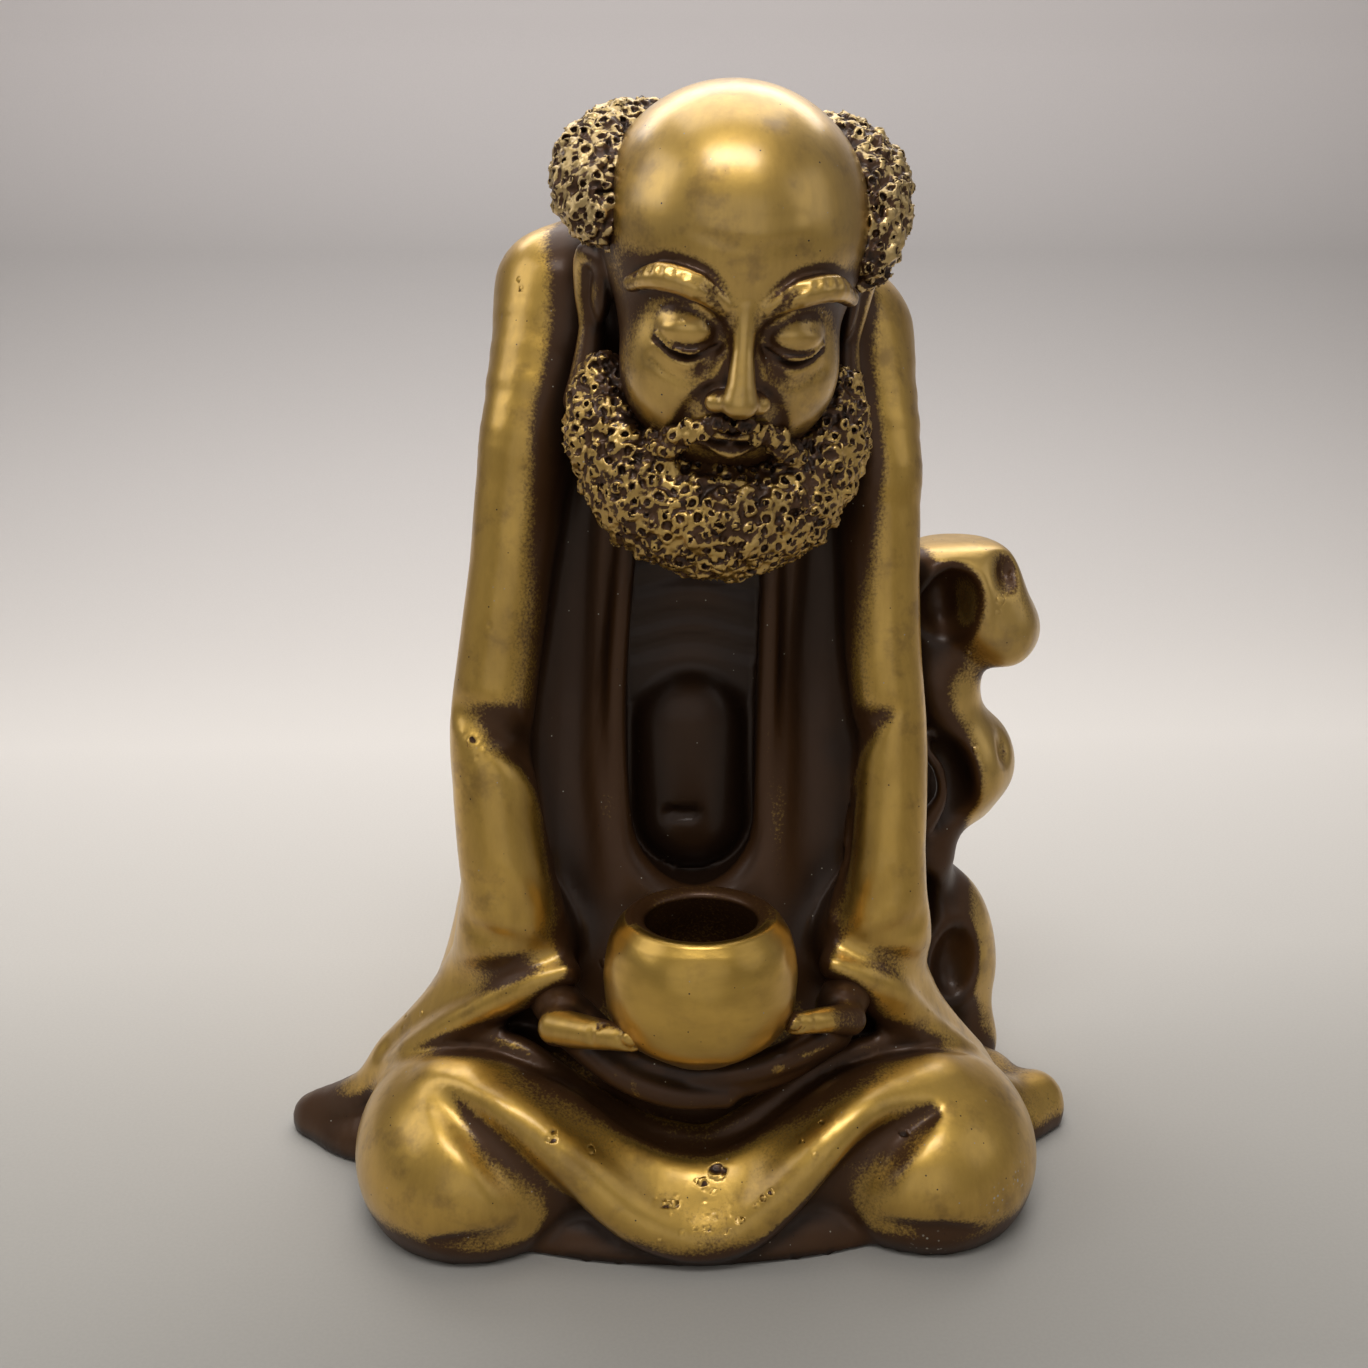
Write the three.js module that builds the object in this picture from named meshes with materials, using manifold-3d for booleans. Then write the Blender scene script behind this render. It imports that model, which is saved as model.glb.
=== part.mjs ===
// A cast brass incense burner: a bald, bearded monk sits cross-legged with his head bowed and holds a bowl
// in his lap, and a pierced scholar's rock stands behind his left shoulder.
// Millimetres. +X is to the viewer's right, -Y is the front and +Z is up. The casting stands on z = 0, with
// the origin under the middle of the seat.
//
// The monk and the rock are sculpted as distance fields: soft masses are blended together, folds are stroked
// onto them, and a net of quads is laid over the surface where the field is zero. The bowl is a lathe turning.
import * as THREE from "three";
import { mergeVertices } from "three/addons/utils/BufferGeometryUtils.js";
import Module from "manifold-3d";

const wasm = await Module();
wasm.setup();

// Driving sizes
const BRAZE_GAP = 0.35; // between castings that are joined
const ROCK_ROOM = 0.6; // the same round the rock, whose two nets differ a little
const FOOT_DEPTH = 3; // how far the masses run below the floor before they are cut off flat
const BODY_CELL = 2.6; // size of the net's quads on the robe
const HEAD_CELL = 1.9; // and on the head
const ROCK_CELL = 2.3;
const MONK_TRIANGLES = 7300;
const ROCK_TRIANGLES = 1300;
const OFF_SURFACE = 0.35; // how far thinning may leave a corner off the true surface

const BOWL = {
  centre: [-0.6, -26],
  floor: 30.2, // underside of the foot
  height: 22.5,
  belly: 14.6, // outer radii
  rim: 11.4,
  foot: 6.5,
  mouth: 8.8, // inner radius at the rim
  bellyShare: 0.5, // where the widest place is, as a share of the height
  wall: 2.4,
};

const HEAD = {
  centre: [4.4, -12, 149.2],
  nod: 18, // degrees forward
  turn: 4, // degrees towards +X
  roll: 4, // degrees, the crown towards +X
  skull: [19.5, 21, 19],
};

const LEAN = { low: -0.9, high: 1.8, from: 70, to: 140, tilt: 0.11 };
const KNEES = [
  { centre: [-36, -17, 9], radii: [19.5, 22, 17.5] },
  { centre: [35.2, -18, 8.2], radii: [19, 21.6, 16.4] },
];

// Smooth helpers

const { clamp, lerp, smoothstep } = THREE.MathUtils;

function softMin(a, b, k) {
  const h = Math.max(k - Math.abs(a - b), 0) / k;
  return Math.min(a, b) - (h * h * k) / 4;
}

function softMax(a, b, k) {
  return -softMin(-a, -b, k);
}

// A smooth curve through [place, value] pairs.
function through(pairs) {
  const slope = (i) => {
    const a = pairs[Math.max(i - 1, 0)];
    const b = pairs[Math.min(i + 1, pairs.length - 1)];
    return (b[1] - a[1]) / (b[0] - a[0]);
  };
  return (t) => {
    if (t <= pairs[0][0]) return pairs[0][1];
    let i = 0;
    while (i < pairs.length - 2 && t > pairs[i + 1][0]) i++;
    const [x0, y0] = pairs[i];
    const [x1, y1] = pairs[i + 1];
    const width = x1 - x0;
    const s = Math.min((t - x0) / width, 1);
    const s2 = s * s;
    const s3 = s2 * s;
    return (
      (2 * s3 - 3 * s2 + 1) * y0 +
      (s3 - 2 * s2 + s) * width * slope(i) +
      (3 * s2 - 2 * s3) * y1 +
      (s3 - s2) * width * slope(i + 1)
    );
  };
}

// Masses: each is a function of x, y and z that gives the distance to its surface, negative inside

function ball([cx, cy, cz], [rx, ry, rz]) {
  return (x, y, z) => {
    const [a, b, c] = [(x - cx) / rx, (y - cy) / ry, (z - cz) / rz];
    const near = Math.sqrt(a * a + b * b + c * c);
    const steep = Math.sqrt((a / rx) ** 2 + (b / ry) ** 2 + (c / rz) ** 2);
    return steep > 1e-9 ? (near * (near - 1)) / steep : -Math.min(rx, ry, rz);
  };
}

// The points of a smooth curve through the given ones, each as [x, y, z, radius].
function smoothPath(points, steps) {
  const curve = new THREE.CatmullRomCurve3(
    points.map((p) => new THREE.Vector3(p[0], p[1], p[2])),
    false,
    "catmullrom",
  );
  const count = (points.length - 1) * steps;
  return Array.from({ length: count + 1 }, (_, i) => {
    const p = curve.getPoint(i / count);
    const k = Math.min(Math.floor(i / steps), points.length - 2);
    return [p.x, p.y, p.z, lerp(points[k][3], points[k + 1][3], i / steps - k)];
  });
}

// The distance to the nearest part of a path and the radius there.
function nearest(path, x, y, z) {
  let best = Infinity;
  let radius = 0;
  for (let i = 0; i < path.length - 1; i++) {
    const [ax, ay, az, ar] = path[i];
    const [bx, by, bz, br] = path[i + 1];
    const [ux, uy, uz] = [bx - ax, by - ay, bz - az];
    const [px, py, pz] = [x - ax, y - ay, z - az];
    const t = clamp((px * ux + py * uy + pz * uz) / (ux * ux + uy * uy + uz * uz), 0, 1);
    const r = ar + (br - ar) * t;
    const d = Math.sqrt((px - ux * t) ** 2 + (py - uy * t) ** 2 + (pz - uz * t) ** 2);
    if (d - r < best - radius) [best, radius] = [d, r];
  }
  return [best, radius];
}

// How far a point is outside the box round a path.
function outsideBox(path) {
  const low = [0, 1, 2].map((k) => Math.min(...path.map((p) => p[k] - p[3])));
  const high = [0, 1, 2].map((k) => Math.max(...path.map((p) => p[k] + p[3])));
  return (x, y, z) => {
    const dx = Math.max(low[0] - x, x - high[0], 0);
    const dy = Math.max(low[1] - y, y - high[1], 0);
    const dz = Math.max(low[2] - z, z - high[2], 0);
    return Math.sqrt(dx * dx + dy * dy + dz * dz);
  };
}

const FAR = 14; // beyond this a tube's box stands for the tube, which no blend can notice

// A tube along a smooth curve. Each point is [x, y, z, radius].
function tube(points, steps = 4) {
  const path = smoothPath(points, steps);
  const outside = outsideBox(path);
  return (x, y, z) => {
    const away = outside(x, y, z);
    if (away > FAR) return away;
    const [d, r] = nearest(path, x, y, z);
    return d - r;
  };
}

// A fold stroked onto the surface: raised if height is positive, sunk if it is negative.
// Each point is [x, y, z, width], and width is how far to its side the stroke fades.
function stroke(points, height, steps = 4) {
  const path = smoothPath(points, steps);
  const outside = outsideBox(path);
  const widest = Math.max(...points.map((p) => p[3]));
  return (x, y, z) => {
    if (outside(x, y, z) > widest) return 0;
    const [d, width] = nearest(path, x, y, z);
    return ((height * width) / widest) * Math.exp(-((d / width) ** 2));
  };
}

function join(k, ...masses) {
  return (x, y, z) => {
    let d = masses[0](x, y, z);
    for (let i = 1; i < masses.length; i++) d = softMin(d, masses[i](x, y, z), k);
    return d;
  };
}

function carve(k, mass, ...tools) {
  return (x, y, z) => {
    let d = mass(x, y, z);
    for (const tool of tools) d = softMax(d, -tool(x, y, z), k);
    return d;
  };
}

function fold(mass, ...strokes) {
  return (x, y, z) => {
    let d = mass(x, y, z);
    for (const s of strokes) d -= s(x, y, z);
    return d;
  };
}

// Ends a mass below the floor.
function cutBelow(mass) {
  return (x, y, z) => Math.max(mass(x, y, z), -z - FOOT_DEPTH);
}

// The same thing on both sides of the body: make(side) builds it for side -1 and +1.
const SIDES = [-1, 1];
const both = (make) => SIDES.flatMap((side) => make(side));
const flip = (side, points) => points.map(([x, ...rest]) => [x * side, ...rest]);

// The mantle that hangs from the shoulders to the floor

function mantle() {
  const halfWidth = through([[-10, 47], [0, 46], [20, 41], [45, 38], [80, 35.5], [110, 32], [140, 26.5]]);
  const middle = through([[-10, 8], [0, 8], [40, 12], [80, 16], [110, 15.5], [140, 13]]);
  const halfDepth = through([[-10, 31], [0, 30], [40, 22], [80, 17.5], [110, 16.5], [140, 12]]);
  const top = 143;
  const column = (x, y, z) => {
    const [a, b] = [halfWidth(z), halfDepth(z)];
    const [u, v] = [x / a, (y - middle(z)) / b];
    const near = Math.sqrt(u * u + v * v);
    const steep = Math.sqrt((u / a) ** 2 + (v / b) ** 2);
    const wall = steep > 1e-9 ? (near * (near - 1)) / steep : -b;
    return softMax(wall, z - top, 10);
  };
  const yoke = tube([
    [-20.5, 9, 138, 10.6], [-11, 12, 143.5, 11.5], [0, 14, 145, 12], [11, 12, 143.5, 11.5], [20.5, 9, 138, 10.6],
  ]);
  const flank = [[27, 9, 118, 7.4], [29, 6, 100, 7], [30, 4, 80, 6.6], [30, 2, 55, 7.2]];
  return join(8, column, yoke, ...both((side) => tube(flip(side, flank))));
}

function sleeve(side) {
  const left = [
    [21.6, 8, 138, 10.6], [26.6, 0, 121, 7.6], [28.2, -2, 112, 6.7], [29.2, -4, 100, 6.3], [30.4, -5.8, 88, 6.4],
    [31.5, -7.8, 77, 6.5], [31.2, -9.4, 68, 6.5], [30.4, -11, 58, 7], [29.6, -12, 50, 7.4], [29.6, -11, 43, 7.6],
  ];
  const right = [
    [21.6, 8, 138, 10.6], [26.4, 0, 121, 7.2], [27.8, -2, 112, 6.1], [28.7, -4, 100, 5.8], [29.6, -5.8, 88, 5.9],
    [31, -7.6, 77, 5.7], [31.4, -9.2, 68, 5.6], [30.8, -11, 57, 5.8], [30.2, -12, 49, 6.5], [29.8, -11, 42, 7.2],
  ];
  return tube(flip(side, side < 0 ? left : right));
}

// The sleeve's front hem, which runs out over the knee to the corner on the floor, and the cloth behind it.
function hem(side) {
  const left = {
    edge: [
      [-21, -17.2, 38.8, 2.2], [-27.5, -16.4, 36.4, 2.7], [-35, -14.6, 32, 2.9], [-43, -11, 25.4, 3],
      [-51.5, -5, 16, 3], [-60, 0, 8, 2.7], [-67.3, 5.5, 2, 2.4],
    ],
    slope: [
      [-31, -8, 43, 6.6], [-35.6, -4, 33, 6], [-40.6, -1, 23, 5.6], [-48.5, 3, 12.5, 5], [-58, 5, 5.4, 4],
      [-66, 6, 1.6, 2.6],
    ],
    foot: [[-65.5, 2.5, 1.2, 2.4], [-60, -3, 1.6, 3.2], [-52, -6, 3.4, 4.8]],
    rear: [[-31, 6, 46, 7], [-34.6, 9, 32, 7.5], [-38.8, 12, 20, 8], [-45, 14, 9, 8], [-53.6, 11, 3, 5.5]],
    front: [[-27, -10, 40, 6], [-33, -8.6, 34, 6], [-40.6, -5.6, 26, 5.4], [-49, -1.6, 16.5, 5]],
  };
  const right = {
    edge: [
      [21, -17.2, 39.4, 2.2], [26.5, -16.4, 35.2, 2.7], [32.6, -14.4, 28.6, 3], [39.8, -10.6, 20, 3.2],
      [48.4, -5.2, 11.2, 3.2], [55, -1, 6, 3], [61.2, 2.5, 3.8, 3.1],
    ],
    slope: [
      [29.6, -8, 43, 6.2], [32, -4, 33, 5.7], [35.2, -1, 22.4, 5.5], [42.4, 3, 10.4, 4.8], [53, 5, 4, 4],
      [60, 4.6, 2.8, 3.7],
    ],
    foot: [[60.6, -0.5, 1.6, 3.2], [56, -4, 2.6, 4], [49, -6, 3.6, 4.8]],
    rear: [[29, 6, 46, 6.8], [32, 9, 32, 7], [35.4, 12, 18, 7.2], [42, 14, 6.6, 6.8], [53.6, 11, 3, 5]],
    front: [[26, -10, 39.4, 5.8], [31, -8.6, 32.6, 5.6], [37.2, -5.6, 24, 5], [45.2, -1.6, 14, 4.6]],
  };
  const masses = Object.values(side < 0 ? left : right);
  return join(5, ...masses.map((mass) => tube(mass)));
}

// The crossed legs under the robe

function legs() {
  const knees = KNEES.map((knee) => ball(knee.centre, knee.radii));
  const thighs = both((side) => ball([21 * side, -16, 9.6], [17, 15, 12.6]));
  const lap = ball([0, -8, 3], [34, 24, 12]);
  return join(5, lap, ...thighs, ...knees);
}

// The cloth stretched from knee to knee, whose edge falls in a deep swag to the floor.
function skirt() {
  const swag = tube([
    [-41, -22, 22.6, 2.6], [-34.6, -27.4, 23, 2.9], [-28, -30.6, 21.2, 3.2], [-21.3, -33.4, 16.4, 3.6],
    [-14.7, -35.2, 10.6, 3.9], [-8.8, -36, 6.6, 4], [-1.4, -36.2, 4.2, 4], [5.4, -36, 5.8, 4],
    [12.1, -35.2, 11.4, 3.9], [18.2, -33.2, 17.2, 3.6], [24.4, -30.2, 20.8, 3.2], [30.4, -27, 21.2, 2.9],
    [38, -22, 20.6, 2.6],
  ]);
  const cloth = tube([
    [-34, -22, 21, 5], [-24, -25.4, 19.6, 5], [-14, -28.4, 13, 5.4], [0, -30, 8, 5.6], [14, -28, 14.4, 5.4],
    [24, -24.6, 19.8, 5], [34, -21, 19, 5],
  ]);
  return join(4, swag, cloth, ball([0, -16.5, 6], [25, 19, 10]));
}

// The open front: robe edges, chest, ribs and belly

const CHEST_HALF_WIDTH = 10.6;
const CHEST_FOOT = 58;
const CHEST_FLOOR = 4;

function chestOpening(x, y, z) {
  const up = Math.max(CHEST_FOOT - z, 0);
  const slot = Math.sqrt(x * x + up * up) - CHEST_HALF_WIDTH;
  return Math.max(slot, y - CHEST_FLOOR);
}

function lapels() {
  return tube([
    [-10.4, 0.5, 122, 1.6], [-12, -0.8, 90, 1.6], [-12, -2, 62, 1.6], [-8.4, -3.6, 51, 1.6], [0, -5, 46.5, 1.6],
    [8.4, -3.6, 51, 1.6], [12, -2, 62, 1.6], [12, -0.8, 90, 1.6], [10.4, 0.5, 122, 1.6],
  ]);
}

// The belly, a long rounded pad.
function belly(x, y, z) {
  const [middle, halfStraight] = [65, 8];
  return ball([0, 5.2, 0], [9.3, 5.6, 9.3])(x, y, Math.max(Math.abs(z - middle) - halfStraight, 0));
}

function ribs() {
  const heights = [86.6, 91, 97.6, 102];
  const halfWidth = 9.6;
  return heights.map((z) => {
    const end = [halfWidth, CHEST_FLOOR, z - 1.4, 1.2];
    return stroke([...flip(-1, [end]), [0, CHEST_FLOOR, z + 0.8, 1.5], end], -1.1);
  });
}

// Hands under the bowl

function hand(side) {
  const left = {
    thumb: [[-22.6, -24.5, 33.6, 2.9], [-18, -28.4, 34.7, 2.5], [-14, -31.4, 35.6, 2.1], [-11.2, -32.8, 35.9, 1.95]],
    fingers: [
      [[-21, -22, 32.5, 3.2], [-13.4, -27.4, 27.6, 2.5], [-5, -29.2, 24.6, 2.3], [3, -28.8, 23.8, 2]],
      [[-19, -21, 33, 3], [-12, -26, 29.6, 2.3], [-3.4, -27.4, 27, 2.1], [1, -27.4, 26.4, 1.8]],
    ],
  };
  const right = {
    thumb: [[22.6, -24.4, 33.8, 2.5], [18.6, -27.8, 35.6, 2], [15.6, -29.8, 36.4, 1.8], [13.2, -30.9, 36.8, 1.7]],
    fingers: [
      [[20.4, -22, 31.6, 3.2], [13, -26.8, 29.2, 2.4], [5, -28.2, 27.4, 2.1], [-1.4, -27.8, 27, 1.8]],
      [[20, -22, 30, 3], [12, -26, 26.4, 2.3], [5.4, -27.6, 24.8, 2]],
    ],
  };
  const { thumb, fingers } = side < 0 ? left : right;
  const wrist = flip(side, [[25.4, -12, 35.4, 4], [21.6, -20.6, 34, 3.9]]);
  return join(1.2, tube(thumb), tube(wrist), ...fingers.map((finger) => tube(finger)));
}

// Folds

function creases() {
  const elbows = [
    stroke(flip(-1, [[37, -12, 80.6, 1.2], [32, -14, 78, 2.4], [26, -13.4, 74, 2.8], [22, -9, 71, 2]]), -2),
    stroke([[30, -13, 80, 1.2], [26, -12.4, 76.4, 2.4], [22.6, -9, 73, 2]], -1.4),
  ];
  const dents = both((side) => stroke(flip(side, [[31, -19, 54, 2], [27.6, -19.6, 50.6, 2.6]]), -0.9));
  const cuffs = both((side) => stroke(flip(side, [
    [38, -15.6, 47.4, 1], [34, -18, 46.2, 1.6], [28, -19.8, 44.6, 1.8], [23, -19.4, 43.4, 1.2],
  ]), -1.6));
  const valleys = both((side) => stroke(flip(side, [
    [24, -18.4, 43, 2], [30.4, -17.4, 40.4, 2.8], [37.4, -14.8, 36.4, 3], [45, -10.6, 29.6, 2.6], [52, -6, 21, 2],
  ]), -1.7));
  const ridges = both((side) => stroke(flip(side, [
    [21, -19.4, 40.4, 1.4], [26, -19, 38, 2], [32, -17.8, 34.6, 2.2], [39, -14.8, 29.6, 2.2], [47, -10, 22, 2],
  ]), 1));
  const panels = both((side) => stroke(flip(side, [
    [15, 0.5, 120, 1.6], [16.6, -0.5, 95, 2], [16.4, -2, 70, 2], [14, -6, 48, 2],
  ]), 1));
  return [...elbows, ...dents, ...cuffs, ...valleys, ...ridges, ...panels];
}

// The robe's edge that lies across the lap as a thin raised rim.
const LAP_RIM = [
  [-47, -11, 26], [-39, -14.5, 28.6], [-31, -17.5, 28.4], [-25, -19.5, 25.8], [-19, -21.6, 22], [-13, -23.4, 18.6],
  [-6.5, -24.6, 16.4], [0, -25, 15.4], [5, -24.4, 17.2], [10, -23, 19.8], [18, -19.8, 24], [27.5, -16.8, 26],
  [37, -13.8, 26.2], [46, -10.6, 23.4],
];
const lapRim = tube(LAP_RIM.map(([x, y, z]) => [x, y + 0.6, z - 1.6, 2]));

function lapFolds() {
  const along = (forward, down, width) => LAP_RIM.map(([x, y, z]) => [x, y - forward, z - down, width]);
  const behind = stroke(along(-4.6, 0.6, 3), -2.4);
  const front = stroke(along(3, 0.8, 1.8), -0.8);
  const left = stroke([
    [-41, -28, 25, 1.6], [-36, -31.8, 22, 2.6], [-30.6, -35, 16.6, 3], [-25, -37.2, 10.6, 3], [-20, -38.6, 5, 2.8],
    [-16, -39.2, 1.2, 2.4],
  ], -2.8);
  const right = stroke([
    [34.4, -30.6, 20.6, 1.4], [29.6, -33, 18.8, 2.6], [25, -35, 15.6, 3], [20.6, -37, 10.8, 3],
    [16, -38.4, 5.2, 2.8], [12, -39.2, 1.2, 2.4],
  ], -2.8);
  const shin = [[41, -37, 5.6, 1], [35, -38.5, 6.2, 1.8], [27, -37.4, 5.8, 1.6]];
  const shins = both((side) => stroke(flip(side, shin), -1));
  return [behind, front, left, right, ...shins];
}

// The cloth that lies flat on the floor between the knees.
const border = ball([0, -18, 0.6], [42, 20, 8.6]);

// Long shallow folds down the back, fanning out from the neck to the hem.
function backFolds() {
  const count = 7;
  const spine = [[0.3, 24, 138, 2], [0.62, 32, 105, 4], [0.8, 34, 70, 4.4], [0.95, 33, 35, 4.4], [1.25, 37, 2, 5]];
  return Array.from({ length: count }, (_, i) => {
    const fan = (i / (count - 1)) * 2 - 1;
    const points = spine.map(([share, y, z, width]) => {
      const out = fan * share;
      return [34 * out, y - 11 * out ** 2, z, width];
    });
    return stroke(points, i % 2 ? -1.5 : 1.2);
  });
}

// The head, in a frame of its own: origin in the middle of the skull, face towards -Y

function cranium() {
  const skull = ball([0, 2, 2.5], HEAD.skull);
  const face = ball([0, -5.5, -13.5], [15.2, 15, 20.5]);
  const cheeks = both((side) => ball([8.6 * side, -12.3, -14], [5.8, 5.6, 7]));
  return join(5, skull, face, ...cheeks);
}

function features() {
  const bridge = tube([[0, -18.4, -3, 1.5], [0, -20.4, -8, 1.5], [0, -22.6, -12.4, 2]]);
  const tip = ball([0, -23.2, -14.4], [2.6, 2.4, 2.1]);
  const wings = both((side) => ball([2.9 * side, -21, -15], [1.8, 2.2, 1.6]));
  const brows = both((side) => tube(flip(side, [
    [3, -18.9, -2.6, 1.2], [7, -19, -0.2, 1.9], [11.6, -17, 0.2, 1.9], [15, -13.4, -2.2, 1.2],
  ])));
  const lids = both((side) => ball([7 * side, -15.9, -6.7], [4.4, 3.75, 3.4]));
  const halfLip = [[4.7, -18, -21, 0.5], [1.8, -20.3, -20.4, 1]];
  const upperLip = tube([...flip(-1, halfLip), [0, -20.5, -20.8, 0.8], ...halfLip.toReversed()]);
  const lowerLip = tube([[-3.9, -18.3, -22, 0.6], [0, -19.9, -22.6, 1.35], [3.9, -18.3, -22, 0.6]]);
  return join(1.2, bridge, tip, ...wings, ...brows, ...lids, upperLip, lowerLip);
}

function sockets() {
  return both((side) => ball([7 * side, -20.6, -6.8], [4.9, 3.6, 3.5]));
}

function ear(side) {
  const helix = tube(flip(side, [
    [17.6, -0.5, -3.5, 1.9], [20, 2.4, -4, 2.1], [20, 3.2, -9, 1.9], [19, 1.2, -14, 1.9], [19.4, -1.5, -20, 2.4],
    [19.8, -2.5, -24, 2.9],
  ]));
  const bowl = ball([18 * side, 0.6, -8], [1.6, 3.6, 5.2]);
  return join(1.2, helix, bowl);
}

// Small round bumps set on a lattice with its points pushed about, for tight curls.
function curls(pitch, height) {
  const random = (i, j, k, n) => {
    const s = Math.sin(i * 127.1 + j * 311.7 + k * 74.7 + n * 183.3) * 43758.5453;
    return s - Math.floor(s);
  };
  return (x, y, z) => {
    const [i, j, k] = [x, y, z].map((v) => Math.floor(v / pitch));
    let near = 9;
    for (let a = -1; a < 2; a++)
      for (let b = -1; b < 2; b++)
        for (let c = -1; c < 2; c++) {
          const [u, v, w] = [i + a, j + b, k + c];
          const dx = (u + random(u, v, w, 0)) * pitch - x;
          const dy = (v + random(u, v, w, 1)) * pitch - y;
          const dz = (w + random(u, v, w, 2)) * pitch - z;
          near = Math.min(near, dx * dx + dy * dy + dz * dz);
        }
    return height * (1 - (2.2 * Math.sqrt(near)) / pitch);
  };
}

function hair() {
  const horseshoe = tube([
    ...flip(-1, [[18.4, -3.4, 3, 3.8], [19.7, 0.4, 5.2, 5.6], [19.2, 6.6, 7.2, 6.3], [13.4, 14.6, 7.4, 7.6]]),
    [0, 19, 5, 8.4],
    ...flip(1, [[13.4, 14.6, 8, 7.4], [18.2, 7, 8.2, 6.6], [18.8, 0.6, 5.4, 6], [18.4, -3.6, 1, 4.4]]),
  ]);
  return fold(horseshoe, curls(4.6, 0.6));
}

function beard() {
  const chin = tube([
    ...flip(-1, [[17.6, -5, -19, 3.2], [16, -9, -26, 6.2], [9.4, -13.5, -33.5, 8]]),
    [0, -15.5, -35.3, 9],
    ...flip(1, [[9.4, -13.5, -33.5, 8], [16, -9, -26, 6.2], [17.6, -5, -19, 3.2]]),
  ]);
  const moustache = both((side) => tube(flip(side, [
    [1.6, -20.3, -18.6, 1.2], [6, -18.6, -21, 1.6], [10.4, -15, -26, 2.4],
  ])));
  return fold(join(1.5, chin, ...moustache), curls(4.2, 0.6));
}

function head() {
  const bare = carve(1.8, cranium(), ...sockets());
  return join(0.8, bare, features(), ...both(ear), hair(), beard());
}

// Turns a mass made in the head's frame into the body's frame.
function placeHead(mass) {
  const turn = new THREE.Matrix4().makeRotationFromEuler(
    new THREE.Euler(
      THREE.MathUtils.degToRad(HEAD.nod),
      THREE.MathUtils.degToRad(HEAD.roll),
      THREE.MathUtils.degToRad(HEAD.turn),
      "ZYX",
    ),
  );
  const inward = turn.clone().setPosition(...HEAD.centre).invert();
  const e = inward.elements;
  return (x, y, z) => mass(
    e[0] * x + e[4] * y + e[8] * z + e[12],
    e[1] * x + e[5] * y + e[9] * z + e[13],
    e[2] * x + e[6] * y + e[10] * z + e[14],
  );
}

// The whole monk

function monk() {
  const upper = join(4.5, mantle(), ...both(sleeve));
  const robed = fold(join(6, upper, ...both(hem)), ...creases(), ...backFolds());
  const opened = join(1.6, carve(2, robed, chestOpening), lapels(), belly);
  const chest = fold(opened, ...ribs(), stroke([[-3.4, 0.5, 59, 1], [0, 0.5, 59, 1]], -1.4));
  const draped = fold(join(4, legs(), skirt()), ...lapFolds());
  const seat = join(1.2, join(0.8, draped, lapRim), border);
  const body = join(3, chest, seat, ...both(hand));
  const neck = tube([[2, 12, 137, 14], [3.4, 0, 140, 14]]);
  const leaning = (x, y, z) => {
    const share = smoothstep(z, LEAN.from, LEAN.to);
    const shift = lerp(LEAN.low * smoothstep(z, 30, LEAN.from), LEAN.high, share);
    return body(x - shift, y, z + LEAN.tilt * x * share);
  };
  return cutBelow(join(1.5, join(5, leaning, neck), placeHead(head())));
}

// The pierced rock

const ROCK_TOP = 100.3;

function rock() {
  const lumps = [
    [[46, 23, 92], [12.5, 12, 10.5]],
    [[54, 21, 85.4], [7.6, 9, 6.8]],
    [[44, 23, 75], [7.5, 9, 12]],
    [[49.4, 23.5, 59], [8.8, 10, 11.2]],
    [[41, 23, 43], [7.5, 9, 11]],
    [[46.3, 24, 22], [10.6, 11, 17]],
    [[47.6, 23.5, 5], [10.8, 11.5, 10]],
  ].map(([centre, radii]) => ball(centre, radii));
  const hollows = [
    [[43.2, 11.5, 90.6], [5, 9, 6.4]],
    [[53.4, 14, 96.6], [1.5, 3.4, 3.2]],
    [[55.4, 16.4, 64.2], [1.4, 3, 2.8]],
    [[44.8, 12.5, 58], [5, 6.6, 9]],
    [[41.5, 13, 35], [3, 7, 6]],
    [[47.6, 11.5, 24.2], [5.4, 7, 7.6]],
    [[50, 36, 78], [7, 6, 5]],
    [[42, 36, 24], [4.5, 6, 7]],
    [[36, 34, 88], [5, 7, 5.5]],
  ].map(([centre, radii]) => ball(centre, radii));
  const rib = tube([[39.6, 14, 66, 1], [43.2, 13.6, 61, 1.1], [43.8, 13.6, 56, 1.1], [41, 14, 50.6, 1]]);
  const wrinkles = (x, y, z) => 0.8 * Math.sin(x * 0.33 + z * 0.11) * Math.cos(y * 0.3 - z * 0.17);
  const pierced = join(1.2, carve(2.2, join(5, ...lumps), ...hollows), rib);
  return cutBelow((x, y, z) => softMax(pierced(x, y, z) + wrinkles(x, y, z), z - ROCK_TOP, 2));
}

// Laying the net

// Grid lines from low to high: small cells between the two fine marks, growing to large ones away from them.
function gridLines(low, high, large, small, fineLow, fineHigh) {
  const lines = [low];
  const growth = 0.22;
  for (let at = low; at < high; ) {
    const away = Math.max(fineLow - at, at - fineHigh, 0);
    at += Math.min(large, small + away * growth);
    lines.push(at);
  }
  return lines;
}

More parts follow.
